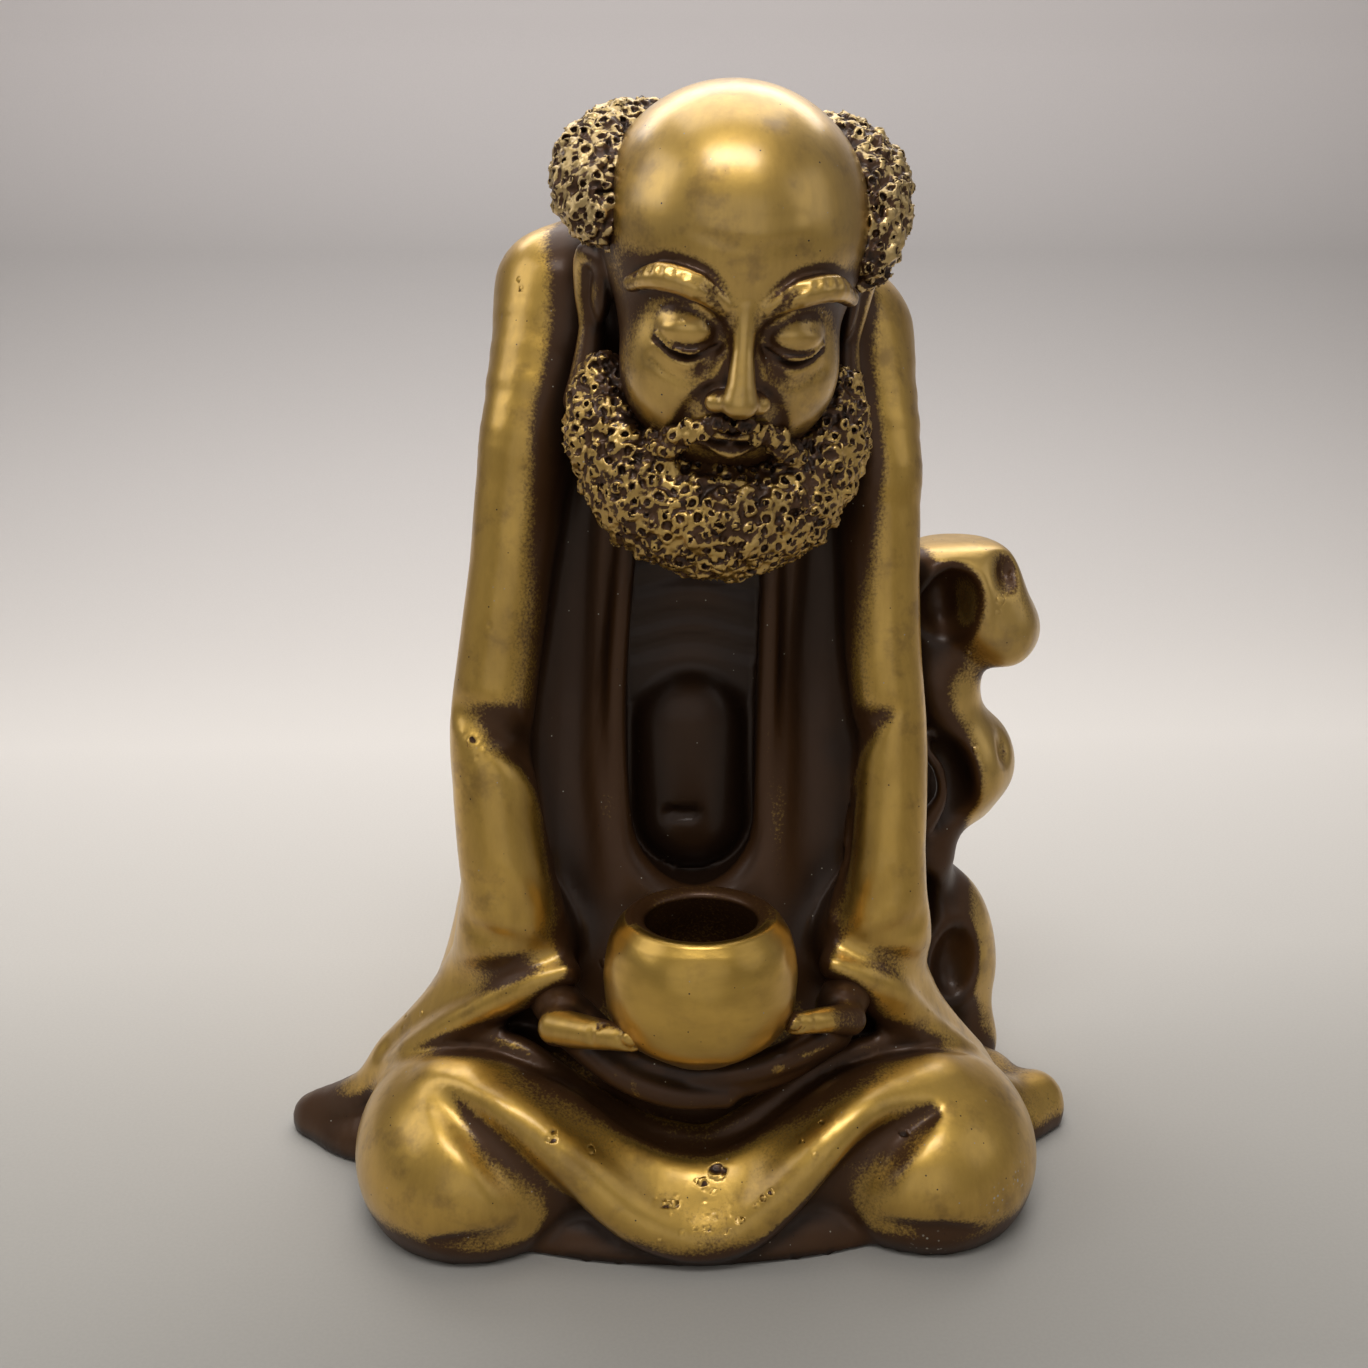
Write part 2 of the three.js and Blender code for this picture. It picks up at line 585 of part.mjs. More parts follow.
// Where the surface passes between grid nodes only touching corner to corner, the gap is filled, so that
// the net never meets itself along an edge.
function fillPinches(values, [nx, ny, nz]) {
  const at = (i, j, k) => (i * ny + j) * nz + k;
  const squares = [[at(1, 0, 0), at(0, 1, 0)], [at(0, 1, 0), at(0, 0, 1)], [at(0, 0, 1), at(1, 0, 0)]];
  const cube = [0, 1].flatMap((i) => [0, 1].flatMap((j) => [0, 1].map((k) => at(i, j, k))));
  const inside = (n) => values[n] < 0;
  const fill = (nodes) => {
    const open = nodes.filter((n) => !inside(n));
    values[open.reduce((a, b) => (values[a] < values[b] ? a : b))] = -1e-3;
  };
  for (let changed = true; changed; ) {
    changed = false;
    for (let i = 0; i < nx - 1; i++)
      for (let j = 0; j < ny - 1; j++)
        for (let k = 0; k < nz - 1; k++) {
          const n = at(i, j, k);
          for (const [u, v] of squares) {
            const pinched = inside(n) === inside(n + u + v) && inside(n + u) === inside(n + v);
            if (!pinched || inside(n) === inside(n + u)) continue;
            fill([n, n + u, n + v, n + u + v]);
            changed = true;
          }
          for (let c = 0; c < 4; c++) {
            const [a, b] = [n + cube[c], n + cube[7 - c]];
            const others = cube.map((offset) => n + offset).filter((m) => m !== a && m !== b);
            if (inside(a) !== inside(b) || others.some((m) => inside(m) === inside(a))) continue;
            fill([a, b, ...others]);
            changed = true;
          }
        }
  }
}

// A closed net of triangles over the places where the field is zero, with one point in each cell it crosses.
function surfaceNet(field, xs, ys, zs) {
  const [nx, ny, nz] = [xs.length, ys.length, zs.length];
  const nodeAt = (i, j, k) => (i * ny + j) * nz + k;
  const values = new Float32Array(nx * ny * nz);
  for (let i = 0; i < nx; i++)
    for (let j = 0; j < ny; j++)
      for (let k = 0; k < nz; k++) values[nodeAt(i, j, k)] = field(xs[i], ys[j], zs[k]);

  fillPinches(values, [nx, ny, nz]);

  const pointOf = new Int32Array(values.length).fill(-1);
  const points = [];
  const corners = [0, 1].flatMap((i) => [0, 1].flatMap((j) => [0, 1].map((k) => [i, j, k])));
  const edges = corners.flatMap((c, n) =>
    [0, 1, 2].filter((axis) => !c[axis]).map((axis) => [n, n + (4 >> axis)]),
  );
  for (let i = 0; i < nx - 1; i++)
    for (let j = 0; j < ny - 1; j++)
      for (let k = 0; k < nz - 1; k++) {
        const at = corners.map(([a, b, c]) => values[nodeAt(i + a, j + b, k + c)]);
        const crossings = edges.filter(([a, b]) => at[a] < 0 !== at[b] < 0);
        if (!crossings.length) continue;
        const sum = [0, 0, 0];
        for (const [a, b] of crossings) {
          const t = at[a] / (at[a] - at[b]);
          const places = [corners[a], corners[b]].map(([u, v, w]) => [xs[i + u], ys[j + v], zs[k + w]]);
          for (let axis = 0; axis < 3; axis++) sum[axis] += lerp(places[0][axis], places[1][axis], t);
        }
        const cell = { low: [xs[i], ys[j], zs[k]], high: [xs[i + 1], ys[j + 1], zs[k + 1]] };
        pointOf[nodeAt(i, j, k)] = points.length;
        points.push(settle(field, sum.map((v) => v / crossings.length), cell));
      }

  const triangles = [];
  const addQuad = (quad, outward) => {
    const [a, b, c, d] = outward ? quad : [...quad].reverse();
    const middle = (p, q) => Math.abs(field(...[0, 1, 2].map((n) => (points[p][n] + points[q][n]) / 2)));
    if (middle(a, c) < middle(b, d)) triangles.push(a, b, c, a, c, d);
    else triangles.push(b, c, d, b, d, a);
  };
  for (let i = 1; i < nx - 1; i++)
    for (let j = 1; j < ny - 1; j++)
      for (let k = 1; k < nz - 1; k++) {
        const inside = values[nodeAt(i, j, k)] < 0;
        const p = (a, b, c) => pointOf[nodeAt(i - a, j - b, k - c)];
        const crossed = (a, b, c) => inside !== values[nodeAt(i + a, j + b, k + c)] < 0;
        if (crossed(1, 0, 0)) addQuad([p(0, 1, 1), p(0, 0, 1), p(0, 0, 0), p(0, 1, 0)], inside);
        if (crossed(0, 1, 0)) addQuad([p(1, 0, 1), p(1, 0, 0), p(0, 0, 0), p(0, 0, 1)], inside);
        if (crossed(0, 0, 1)) addQuad([p(1, 1, 0), p(0, 1, 0), p(0, 0, 0), p(1, 0, 0)], inside);
      }
  return { points, triangles };
}

// Moves a point onto the surface down the field's slope, without leaving its cell.
function settle(field, point, cell) {
  const reach = 0.05;
  let p = point;
  for (let round = 0; round < 4; round++) {
    const d = field(...p);
    const slope = [0, 1, 2].map((axis) => {
      const [ahead, behind] = [[...p], [...p]];
      ahead[axis] += reach;
      behind[axis] -= reach;
      return (field(...ahead) - field(...behind)) / (2 * reach);
    });
    const steep = slope.reduce((s, v) => s + v * v, 0) || 1;
    p = p.map((v, axis) => clamp(v - (slope[axis] * d) / steep, cell.low[axis], cell.high[axis]));
  }
  return p;
}

// Thinning the net

// A quadric holds the ten sums that give the squared distance from any point to a set of planes.
function addPlane(quadric, [a, b, c, d], weight) {
  const sums = [a * a, a * b, a * c, a * d, b * b, b * c, b * d, c * c, c * d, d * d];
  sums.forEach((v, n) => (quadric[n] += weight * v));
}

function offPlanes(q, [x, y, z]) {
  return (
    q[0] * x * x + q[4] * y * y + q[7] * z * z + q[9] +
    2 * (q[1] * x * y + q[2] * x * z + q[5] * y * z + q[3] * x + q[6] * y + q[8] * z)
  );
}

// The point that lies nearest to all the planes, or nothing where they don't meet in one.
function meeting(q) {
  const [a, b, c, d, e, f] = [q[0], q[1], q[2], q[4], q[5], q[7]];
  const [m, n, o] = [d * f - e * e, c * e - b * f, b * e - c * d];
  const scale = a * m + b * n + c * o;
  const size = a + d + f;
  if (Math.abs(scale) < 1e-4 * size ** 3) return null;
  const [p, r, s] = [a * f - c * c, b * c - a * e, a * d - b * b];
  const [x, y, z] = [-q[3], -q[6], -q[8]];
  return [(m * x + n * y + o * z) / scale, (n * x + p * y + r * z) / scale, (o * x + r * y + s * z) / scale];
}

const minus = (a, b) => [a[0] - b[0], a[1] - b[1], a[2] - b[2]];
const cross = (a, b) => [a[1] * b[2] - a[2] * b[1], a[2] * b[0] - a[0] * b[2], a[0] * b[1] - a[1] * b[0]];
const dot = (a, b) => a[0] * b[0] + a[1] * b[1] + a[2] * b[2];
const facing = (a, b, c) => cross(minus(b, a), minus(c, a));

// Joins the ends of the edges that matter least until the net has few enough triangles.
function thin(field, { points, triangles }, wanted) {
  let faces = Array.from({ length: triangles.length / 3 }, (_, i) => triangles.slice(3 * i, 3 * i + 3));
  const quadrics = points.map(() => new Float64Array(10));
  for (const face of faces) {
    const corners = face.map((v) => points[v]);
    const normal = facing(...corners);
    const double = Math.hypot(...normal) || 1;
    const unit = normal.map((v) => v / double);
    for (const v of face) addPlane(quadrics[v], [...unit, -dot(unit, corners[0])], double);
  }
  const joined = (a, b) => {
    const q = quadrics[a].map((v, n) => v + quadrics[b][n]);
    const [p, r] = [points[a], points[b]];
    const middle = p.map((v, n) => (v + r[n]) / 2);
    const long = Math.hypot(...minus(p, r));
    const best = meeting(q);
    const choices = best && Math.hypot(...minus(best, middle)) < long ? [best] : [p, r, middle];
    const costs = choices.map((point) => offPlanes(q, point));
    const n = costs.indexOf(Math.min(...costs));
    return { a, b, q, point: choices[n], cost: costs[n] + 1e-3 * long * long };
  };
  for (let round = 0; faces.length > wanted && round < 90; round++) {
    const facesAt = points.map(() => []);
    for (const face of faces) for (const v of face) facesAt[v].push(face);
    const around = (v) => new Set(facesAt[v].flat().filter((w) => w !== v));
    const options = [];
    for (const [u, v, w] of faces)
      for (const [a, b] of [[u, v], [v, w], [w, u]]) if (a < b) options.push(joined(a, b));
    options.sort((m, n) => m.cost - n.cost);
    options.length = Math.ceil(options.length * 0.3);
    const moved = new Uint8Array(points.length);
    const becomes = new Int32Array(points.length).map((_, i) => i);
    let left = faces.length;
    for (const { a, b, q, point } of options) {
      if (left <= wanted) break;
      if (moved[a] || moved[b]) continue;
      const [nearA, nearB] = [around(a), around(b)];
      const shared = [...nearA].filter((v) => nearB.has(v));
      if (shared.length !== 2) continue;
      const kept = [...facesAt[a], ...facesAt[b]].filter((face) => !(face.includes(a) && face.includes(b)));
      const folds = kept.some((face) => {
        const before = facing(...face.map((v) => points[v]));
        const after = facing(...face.map((v) => (v === a || v === b ? point : points[v])));
        return dot(before, after) < 0.3 * Math.hypot(...before) * Math.hypot(...after);
      });
      if (folds) continue;
      if (Math.abs(field(...point)) > OFF_SURFACE) continue;
      points[a] = point;
      quadrics[a] = q;
      becomes[b] = a;
      for (const v of [a, b, ...nearA, ...nearB]) moved[v] = 1;
      left -= 2;
    }
    faces = faces
      .map((face) => face.map((v) => becomes[v]))
      .filter(([u, v, w]) => u !== v && v !== w && w !== u);
  }
  const number = new Map();
  for (const v of faces.flat()) if (!number.has(v)) number.set(v, number.size);
  return {
    points: [...number.keys()].map((v) => points[v]),
    triangles: faces.flat().map((v) => number.get(v)),
  };
}

// Solids

function solidOf({ points, triangles }) {
  return new wasm.Manifold(
    new wasm.Mesh({
      numProp: 3,
      vertProperties: new Float32Array(points.flat()),
      triVerts: new Uint32Array(triangles),
    }),
  );
}

function geometryOf(solid) {
  const { vertProperties, triVerts } = solid.getMesh();
  const geometry = new THREE.BufferGeometry();
  geometry.setAttribute("position", new THREE.BufferAttribute(vertProperties, 3));
  geometry.setIndex(new THREE.BufferAttribute(triVerts, 1));
  geometry.computeVertexNormals();
  return geometry;
}

// The bowl, turned on a lathe

// The outline of the outside, from the axis under the foot out and up to the rim.
function bowlOutside(grow = 0) {
  const { belly, bellyShare, foot, height, rim } = BOWL;
  const radius = through([
    [0, foot], [height * bellyShare * 0.42, belly * 0.87], [height * bellyShare, belly], [height * 0.82, belly * 0.93],
    [height, rim],
  ]);
  const steps = 10;
  const wall = Array.from({ length: steps + 1 }, (_, i) => {
    const z = (height * i) / steps;
    return new THREE.Vector2(radius(z) + grow, z);
  });
  wall[0].y -= grow;
  wall[steps].y += grow;
  return [new THREE.Vector2(0, -grow), ...wall];
}

// The outline of the inside, from the mouth down to the axis.
function bowlInside() {
  const { belly, height, mouth, wall } = BOWL;
  const floor = wall + 1;
  const radius = through([
    [floor, mouth * 0.62], [height * 0.36, belly - wall - 1.4], [height * 0.6, belly - wall - 0.4], [height, mouth],
  ]);
  const steps = 7;
  const side = Array.from({ length: steps + 1 }, (_, i) => {
    const z = lerp(height, floor, i / steps);
    return new THREE.Vector2(radius(z), z);
  });
  return [...side, new THREE.Vector2(0, floor)];
}

// A turned solid, standing on its own axis.
function turned(outline) {
  const lathe = new THREE.LatheGeometry(outline, 28).rotateX(Math.PI / 2);
  lathe.deleteAttribute("normal");
  lathe.deleteAttribute("uv");
  const { index, attributes } = mergeVertices(lathe, 1e-4);
  const triangles = Array.from({ length: index.count / 3 }, (_, i) => [0, 1, 2].map((n) => index.getX(3 * i + n)));
  const whole = triangles.filter(([a, b, c]) => a !== b && b !== c && c !== a);
  const points = Array.from({ length: attributes.position.count }, (_, i) => [
    attributes.position.getX(i), attributes.position.getY(i), attributes.position.getZ(i),
  ]);
  return solidOf({ points, triangles: whole.flat() });
}

// Putting the castings together

const netOver = (field, xs, ys, zs, wanted) => solidOf(thin(field, surfaceNet(field, xs, ys, zs), wanted));
const rockLines = [
  gridLines(26, 70, ROCK_CELL, ROCK_CELL, 0, 0),
  gridLines(4, 44, ROCK_CELL, ROCK_CELL, 0, 0),
  gridLines(-FOOT_DEPTH - 4, 108, ROCK_CELL, ROCK_CELL, 0, 0),
];
const rockField = rock();
const rockSolid = netOver(rockField, ...rockLines, ROCK_TRIANGLES);
const rockRoom = netOver((x, y, z) => rockField(x, y, z) - ROCK_ROOM, ...rockLines, ROCK_TRIANGLES);

const bowlPlace = [...BOWL.centre, BOWL.floor];
const bowlSolid = turned([...bowlOutside(), ...bowlInside()]).translate(bowlPlace);
const bowlLid = new THREE.Vector2(0, BOWL.height + BRAZE_GAP);
const bowlRoom = turned([...bowlOutside(BRAZE_GAP), bowlLid]).translate(bowlPlace);

const monkSolid = netOver(
  monk(),
  gridLines(-76, 74, BODY_CELL, HEAD_CELL, -17, 26),
  gridLines(-46, 46, BODY_CELL, HEAD_CELL, -40, -14),
  gridLines(-FOOT_DEPTH - 4, 178, BODY_CELL, HEAD_CELL, 112, 160),
  MONK_TRIANGLES,
);

const brass = new THREE.MeshStandardMaterial({ color: 0xb08d3e, metalness: 0.9, roughness: 0.36 });
const group = new THREE.Group();

function addMesh(name, solid) {
  const mesh = new THREE.Mesh(geometryOf(solid), brass.clone());
  mesh.name = name;
  group.add(mesh);
}

addMesh("figure", monkSolid.subtract(rockRoom).subtract(bowlRoom).trimByPlane([0, 0, 1], 0));
addMesh("scholar_rock", rockSolid.trimByPlane([0, 0, 1], 0));
addMesh("incense_bowl", bowlSolid);

export default group;
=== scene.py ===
"""The looks of a cast brass incense burner: a bowed, seated monk with a bowl in his lap and a pierced rock.

Everything is sculpted in millimetres as distance fields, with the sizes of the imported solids, and the
surface where each field is zero becomes a mesh. The finer work that the solids leave out is added here:
curls, eyelids, nails, cloth folds, casting pits, and the brown patina that lies in every hollow.
"""

import math
from functools import reduce

import bmesh
import bpy
import numpy as np
from mathutils import Euler, Matrix, Vector


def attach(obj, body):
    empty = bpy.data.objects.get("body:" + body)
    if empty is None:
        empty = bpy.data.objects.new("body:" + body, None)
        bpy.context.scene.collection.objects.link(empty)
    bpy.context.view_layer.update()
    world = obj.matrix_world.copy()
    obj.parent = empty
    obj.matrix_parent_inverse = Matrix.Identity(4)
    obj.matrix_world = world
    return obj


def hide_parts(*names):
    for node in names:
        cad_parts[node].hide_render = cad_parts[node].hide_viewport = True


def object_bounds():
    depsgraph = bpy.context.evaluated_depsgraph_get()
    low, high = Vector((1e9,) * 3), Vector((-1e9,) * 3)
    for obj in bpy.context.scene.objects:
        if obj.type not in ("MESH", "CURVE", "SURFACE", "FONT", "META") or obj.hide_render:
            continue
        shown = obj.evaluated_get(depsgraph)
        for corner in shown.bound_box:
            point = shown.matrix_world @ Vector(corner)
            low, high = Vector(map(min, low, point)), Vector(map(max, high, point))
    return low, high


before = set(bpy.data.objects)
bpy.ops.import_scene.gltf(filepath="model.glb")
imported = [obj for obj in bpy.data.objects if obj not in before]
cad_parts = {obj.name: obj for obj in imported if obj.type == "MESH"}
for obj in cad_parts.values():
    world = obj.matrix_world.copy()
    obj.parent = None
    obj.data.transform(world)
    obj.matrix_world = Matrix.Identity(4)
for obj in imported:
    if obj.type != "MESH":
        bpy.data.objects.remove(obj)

MM = 0.001
SIDES = (-1, 1)
bounds_of_solids = [list(corner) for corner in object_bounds()]
BOX = np.array(bounds_of_solids) / MM
SMALL, TINY = 1e-6, 1e-9  # keep divisions away from zero

# Driving sizes, in millimetres, as in the solids

BOWL_CENTRE, BOWL_FLOOR, BOWL_HEIGHT, BOWL_WALL = (-0.6, -26), 30.2, 22.5, 2.4
BOWL_OUTSIDE = [(0, 6.5), (4.7, 12.7), (11.25, 14.6), (18.45, 13.6), (22.5, 11.4)]  # height and radius
HEAD_CENTRE = (4.4, -12, 149.2)
HEAD_NOD, HEAD_TURN, HEAD_ROLL = 18, 4, 4
SKULL = (19.5, 21, 19)
LEAN_LOW, LEAN_HIGH, LEAN_FROM, LEAN_TO, LEAN_TILT = -0.9, 1.8, 70, 140, 0.11
KNEES = [((-36, -17, 9), (19.5, 22, 17.5)), ((35.2, -18, 8.2), (19, 21.6, 16.4))]
ROCK_TOP = 100.3

# How fine each mesh is
ROBE_CELL = 1.0
HEAD_CELL = 0.42
CURL_CELL = 0.36
HAND_CELL = 0.5
ROCK_CELL = 0.8

# The grid on which the whole casting is stored, for the shade
ROOM, ROOM_CELL = ((-84, -56, -6), (82, 54, 186)), 2.8


# Smooth helpers. A mass is a function of x, y and z, all arrays, that gives the distance to its surface,
# negative inside.


def rise(v, low, high):
    """Goes from 0 to 1 while v goes from low to high."""
    t = np.clip((v - low) / (high - low), 0, 1)
    return t * t * (3 - 2 * t)


def soft_min(a, b, k):
    h = np.maximum(k - np.abs(a - b), 0) / k
    return np.minimum(a, b) - h * h * k / 4


def soft_max(a, b, k):
    return -soft_min(-a, -b, k)


def cubic(s, start, start_slope, end, end_slope, width=1):
    """Goes from start to end while s goes from 0 to 1, with these slopes at the ends."""
    s2, s3 = s * s, s * s * s
    return (
        (2 * s3 - 3 * s2 + 1) * start
        + (s3 - 2 * s2 + s) * width * start_slope
        + (3 * s2 - 2 * s3) * end
        + (s3 - s2) * width * end_slope
    )


def through(pairs):
    """A smooth curve through (place, value) pairs."""
    at, value = np.array(pairs, float).T
    last = len(at) - 1
    here = np.arange(last + 1)
    ahead, behind = np.minimum(here + 1, last), np.maximum(here - 1, 0)
    slope = (value[ahead] - value[behind]) / (at[ahead] - at[behind])

    def curve(t):
        t = np.clip(t, at[0], at[-1])
        i = np.clip(np.searchsorted(at, t, side="right") - 1, 0, last - 1)
        width = at[i + 1] - at[i]
        return cubic((t - at[i]) / width, value[i], slope[i], value[i + 1], slope[i + 1], width)

    return curve


def rounded(offsets, radii):
    """The distance, near enough, to an ellipse or ellipsoid round the origin."""
    shares = [v / r for v, r in zip(offsets, radii)]
    near = np.sqrt(sum(s * s for s in shares))
    steep = np.sqrt(sum((s / r) ** 2 for s, r in zip(shares, radii))) + SMALL
    return near * (near - 1) / steep


def ball(centre, radii):
    return lambda *at: rounded([v - c for v, c in zip(at, centre)], radii)


def smooth_path(points, steps=4):
    """Points of a smooth curve through the given ones, whose fourth number is a radius."""
    p = np.array(points, float)
    ends = np.vstack([2 * p[0] - p[1], p, 2 * p[-1] - p[-2]])
    out = []
    for i in range(len(p) - 1):
        a, b, c, d = ends[i : i + 4, :3]
        for s in np.arange(steps) / steps:
            place = cubic(s, b, (c - a) / 2, c, (d - b) / 2)
            out.append([*place, p[i, 3] + (p[i + 1, 3] - p[i, 3]) * s])
    return np.array([*out, p[-1]])


def nearest(path, x, y, z):
    """The distance to the nearest part of a path and the radius there."""
    best, radius = np.full(x.shape, 1e6), np.zeros(x.shape)
    for a, b in zip(path[:-1], path[1:]):
        u = b - a
        px, py, pz = x - a[0], y - a[1], z - a[2]
        t = np.clip((px * u[0] + py * u[1] + pz * u[2]) / (u[:3] @ u[:3]), 0, 1)
        r = a[3] + u[3] * t
        d = np.sqrt((px - u[0] * t) ** 2 + (py - u[1] * t) ** 2 + (pz - u[2] * t) ** 2)
        closer = d - r < best - radius
        best, radius = np.where(closer, d, best), np.where(closer, r, radius)
    return best, radius


def outside_box(path, x, y, z):
    low, high = (path[:, :3] - path[:, 3:]).min(0), (path[:, :3] + path[:, 3:]).max(0)
    return np.sqrt(sum(np.maximum(np.maximum(l - v, v - h), 0) ** 2 for v, l, h in zip((x, y, z), low, high)))


FAR = 14  # beyond this a tube's box stands for the tube


def tube(points):
    """A tube along a smooth curve. Each point is (x, y, z, radius)."""
    path = smooth_path(points)

    def mass(x, y, z):
        d = outside_box(path, x, y, z)
        close = d <= FAR
        reach, radius = nearest(path, x[close], y[close], z[close])
        d[close] = reach - radius
        return d

    return mass


def stroke(points, height):
    """A fold stroked onto the surface, raised or sunk. Each point is (x, y, z, width)."""
    path = smooth_path(points)
    widest = max(p[3] for p in points)

    def relief(x, y, z):
        out = np.zeros(x.shape)
        close = outside_box(path, x, y, z) <= widest
        d, width = nearest(path, x[close], y[close], z[close])
        out[close] = height * width / widest * np.exp(-((d / width) ** 2))
        return out

    return relief


def join(k, *masses):
    """Masses run together, with a fillet about as wide as k."""
    return lambda *at: reduce(lambda d, other: soft_min(d, other, k), (mass(*at) for mass in masses))


def carve(k, mass, *tools):
    """A mass with the tools cut out of it, and edges softened by k."""
    return lambda *at: reduce(lambda d, tool: soft_max(d, -tool(*at), k), tools, mass(*at))


def fold(mass, *reliefs):
    """A mass whose surface is raised by each relief."""
    return lambda *at: reduce(lambda d, relief: d - relief(*at), reliefs, mass(*at))


def flip(side, points):
    return [(x * side, *rest) for x, *rest in points]


def both(points):
    """The same line on either side."""
    return [flip(side, points) for side in SIDES]


def across(half, *middle):
    """A line from the left over the middle to the right, alike on both sides."""
    return [*flip(-1, half), *middle, *half[::-1]]


def read_grid(values, at, ease=False):
    """Reads a grid between its nodes. Past its ends it repeats."""
    base = np.floor(at).astype(int)
    share = rise(at - base, 0, 1) if ease else at - base
    out = np.zeros(at.shape[1:])
    for corner in np.ndindex(2, 2, 2):
        i, j, k = [(base[n] + corner[n]) % values.shape[n] for n in range(3)]
        weights = [share[n] if corner[n] else 1 - share[n] for n in range(3)]
        out += weights[0] * weights[1] * weights[2] * values[i, j, k]
    return out


ROUGH_SEED, ROUGH_PERIOD = 3, 48
draws = np.random.default_rng(ROUGH_SEED).random((ROUGH_PERIOD, ROUGH_PERIOD, ROUGH_PERIOD))


def rough(x, y, z):
    """A smooth random field over all space, between 0 and 1, with one draw at each whole place."""
    return read_grid(draws, np.stack([x, y, z]), ease=True)


def stride_of(shape):
    """What each index is worth in a flat array of this shape."""
    return np.array([shape[1] * shape[2], shape[2], 1])


# The robe


def mantle():
    half_width = through([(-10, 47), (0, 46), (20, 41), (45, 38), (80, 35.5), (110, 32), (140, 26.5)])
    middle = through([(-10, 8), (0, 8), (40, 12), (80, 16), (110, 15.5), (140, 13)])
    half_depth = through([(-10, 31), (0, 30), (40, 22), (80, 17.5), (110, 16.5), (140, 12)])
    top, shoulder = 143, 10

    def column(x, y, z):
        return soft_max(rounded((x, y - middle(z)), (half_width(z), half_depth(z))), z - top, shoulder)

    slope = [(20.5, 9, 138, 10.6), (11, 12, 143.5, 11.5)]
    yoke = tube(across(slope, (0, 14, 145, 12)))
    flank = [(27, 9, 118, 7.4), (29, 6, 100, 7), (30, 4, 80, 6.6), (30, 2, 55, 7.2)]
    return join(8, column, yoke, *map(tube, both(flank)))


def sleeve(side):
    if side < 0:
        arm = [(21.6, 8, 138, 10.6), (26.6, 0, 121, 7.6), (28.2, -2, 112, 6.7), (29.2, -4, 100, 6.3),
               (30.4, -5.8, 88, 6.4), (31.5, -7.8, 77, 6.5), (31.2, -9.4, 68, 6.5), (30.4, -11, 58, 7),
               (29.6, -12, 50, 7.4), (29.6, -11, 43, 7.6)]
    else:
        arm = [(21.6, 8, 138, 10.6), (26.4, 0, 121, 7.2), (27.8, -2, 112, 6.1), (28.7, -4, 100, 5.8),
               (29.6, -5.8, 88, 5.9), (31, -7.6, 77, 5.7), (31.4, -9.2, 68, 5.6), (30.8, -11, 57, 5.8),
               (30.2, -12, 49, 6.5), (29.8, -11, 42, 7.2)]
    return tube(flip(side, arm))


def hem(side):
    """The sleeve's front hem, which runs out over the knee to the floor, and the cloth behind it."""
    if side < 0:
        edge = [(-21, -17.2, 38.8, 2.2), (-27.5, -16.4, 36.4, 2.7), (-35, -14.6, 32, 2.9),
                (-43, -11, 25.4, 3), (-51.5, -5, 16, 3), (-60, 0, 8, 2.7), (-67.3, 5.5, 2, 2.4)]
        slope = [(-31, -8, 43, 6.6), (-35.6, -4, 33, 6), (-40.6, -1, 23, 5.6), (-48.5, 3, 12.5, 5),
                 (-58, 5, 5.4, 4), (-66, 6, 1.6, 2.6)]
        foot = [(-65.5, 2.5, 1.2, 2.4), (-60, -3, 1.6, 3.2), (-52, -6, 3.4, 4.8)]
        rear = [(-31, 6, 46, 7), (-34.6, 9, 32, 7.5), (-38.8, 12, 20, 8), (-45, 14, 9, 8),
                (-53.6, 11, 3, 5.5)]
        front = [(-27, -10, 40, 6), (-33, -8.6, 34, 6), (-40.6, -5.6, 26, 5.4), (-49, -1.6, 16.5, 5)]
    else:
        edge = [(21, -17.2, 39.4, 2.2), (26.5, -16.4, 35.2, 2.7), (32.6, -14.4, 28.6, 3),
                (39.8, -10.6, 20, 3.2), (48.4, -5.2, 11.2, 3.2), (55, -1, 6, 3), (61.2, 2.5, 3.8, 3.1)]
        slope = [(29.6, -8, 43, 6.2), (32, -4, 33, 5.7), (35.2, -1, 22.4, 5.5), (42.4, 3, 10.4, 4.8),
                 (53, 5, 4, 4), (60, 4.6, 2.8, 3.7)]
        foot = [(60.6, -0.5, 1.6, 3.2), (56, -4, 2.6, 4), (49, -6, 3.6, 4.8)]
        rear = [(29, 6, 46, 6.8), (32, 9, 32, 7), (35.4, 12, 18, 7.2), (42, 14, 6.6, 6.8), (53.6, 11, 3, 5)]
        front = [(26, -10, 39.4, 5.8), (31, -8.6, 32.6, 5.6), (37.2, -5.6, 24, 5), (45.2, -1.6, 14, 4.6)]
    return join(5, *[tube(mass) for mass in (edge, slope, foot, rear, front)])


def legs():
    knees = [ball(*knee) for knee in KNEES]
    thighs = [ball((21 * side, -16, 9.6), (17, 15, 12.6)) for side in SIDES]
    return join(5, ball((0, -8, 3), (34, 24, 12)), *thighs, *knees)


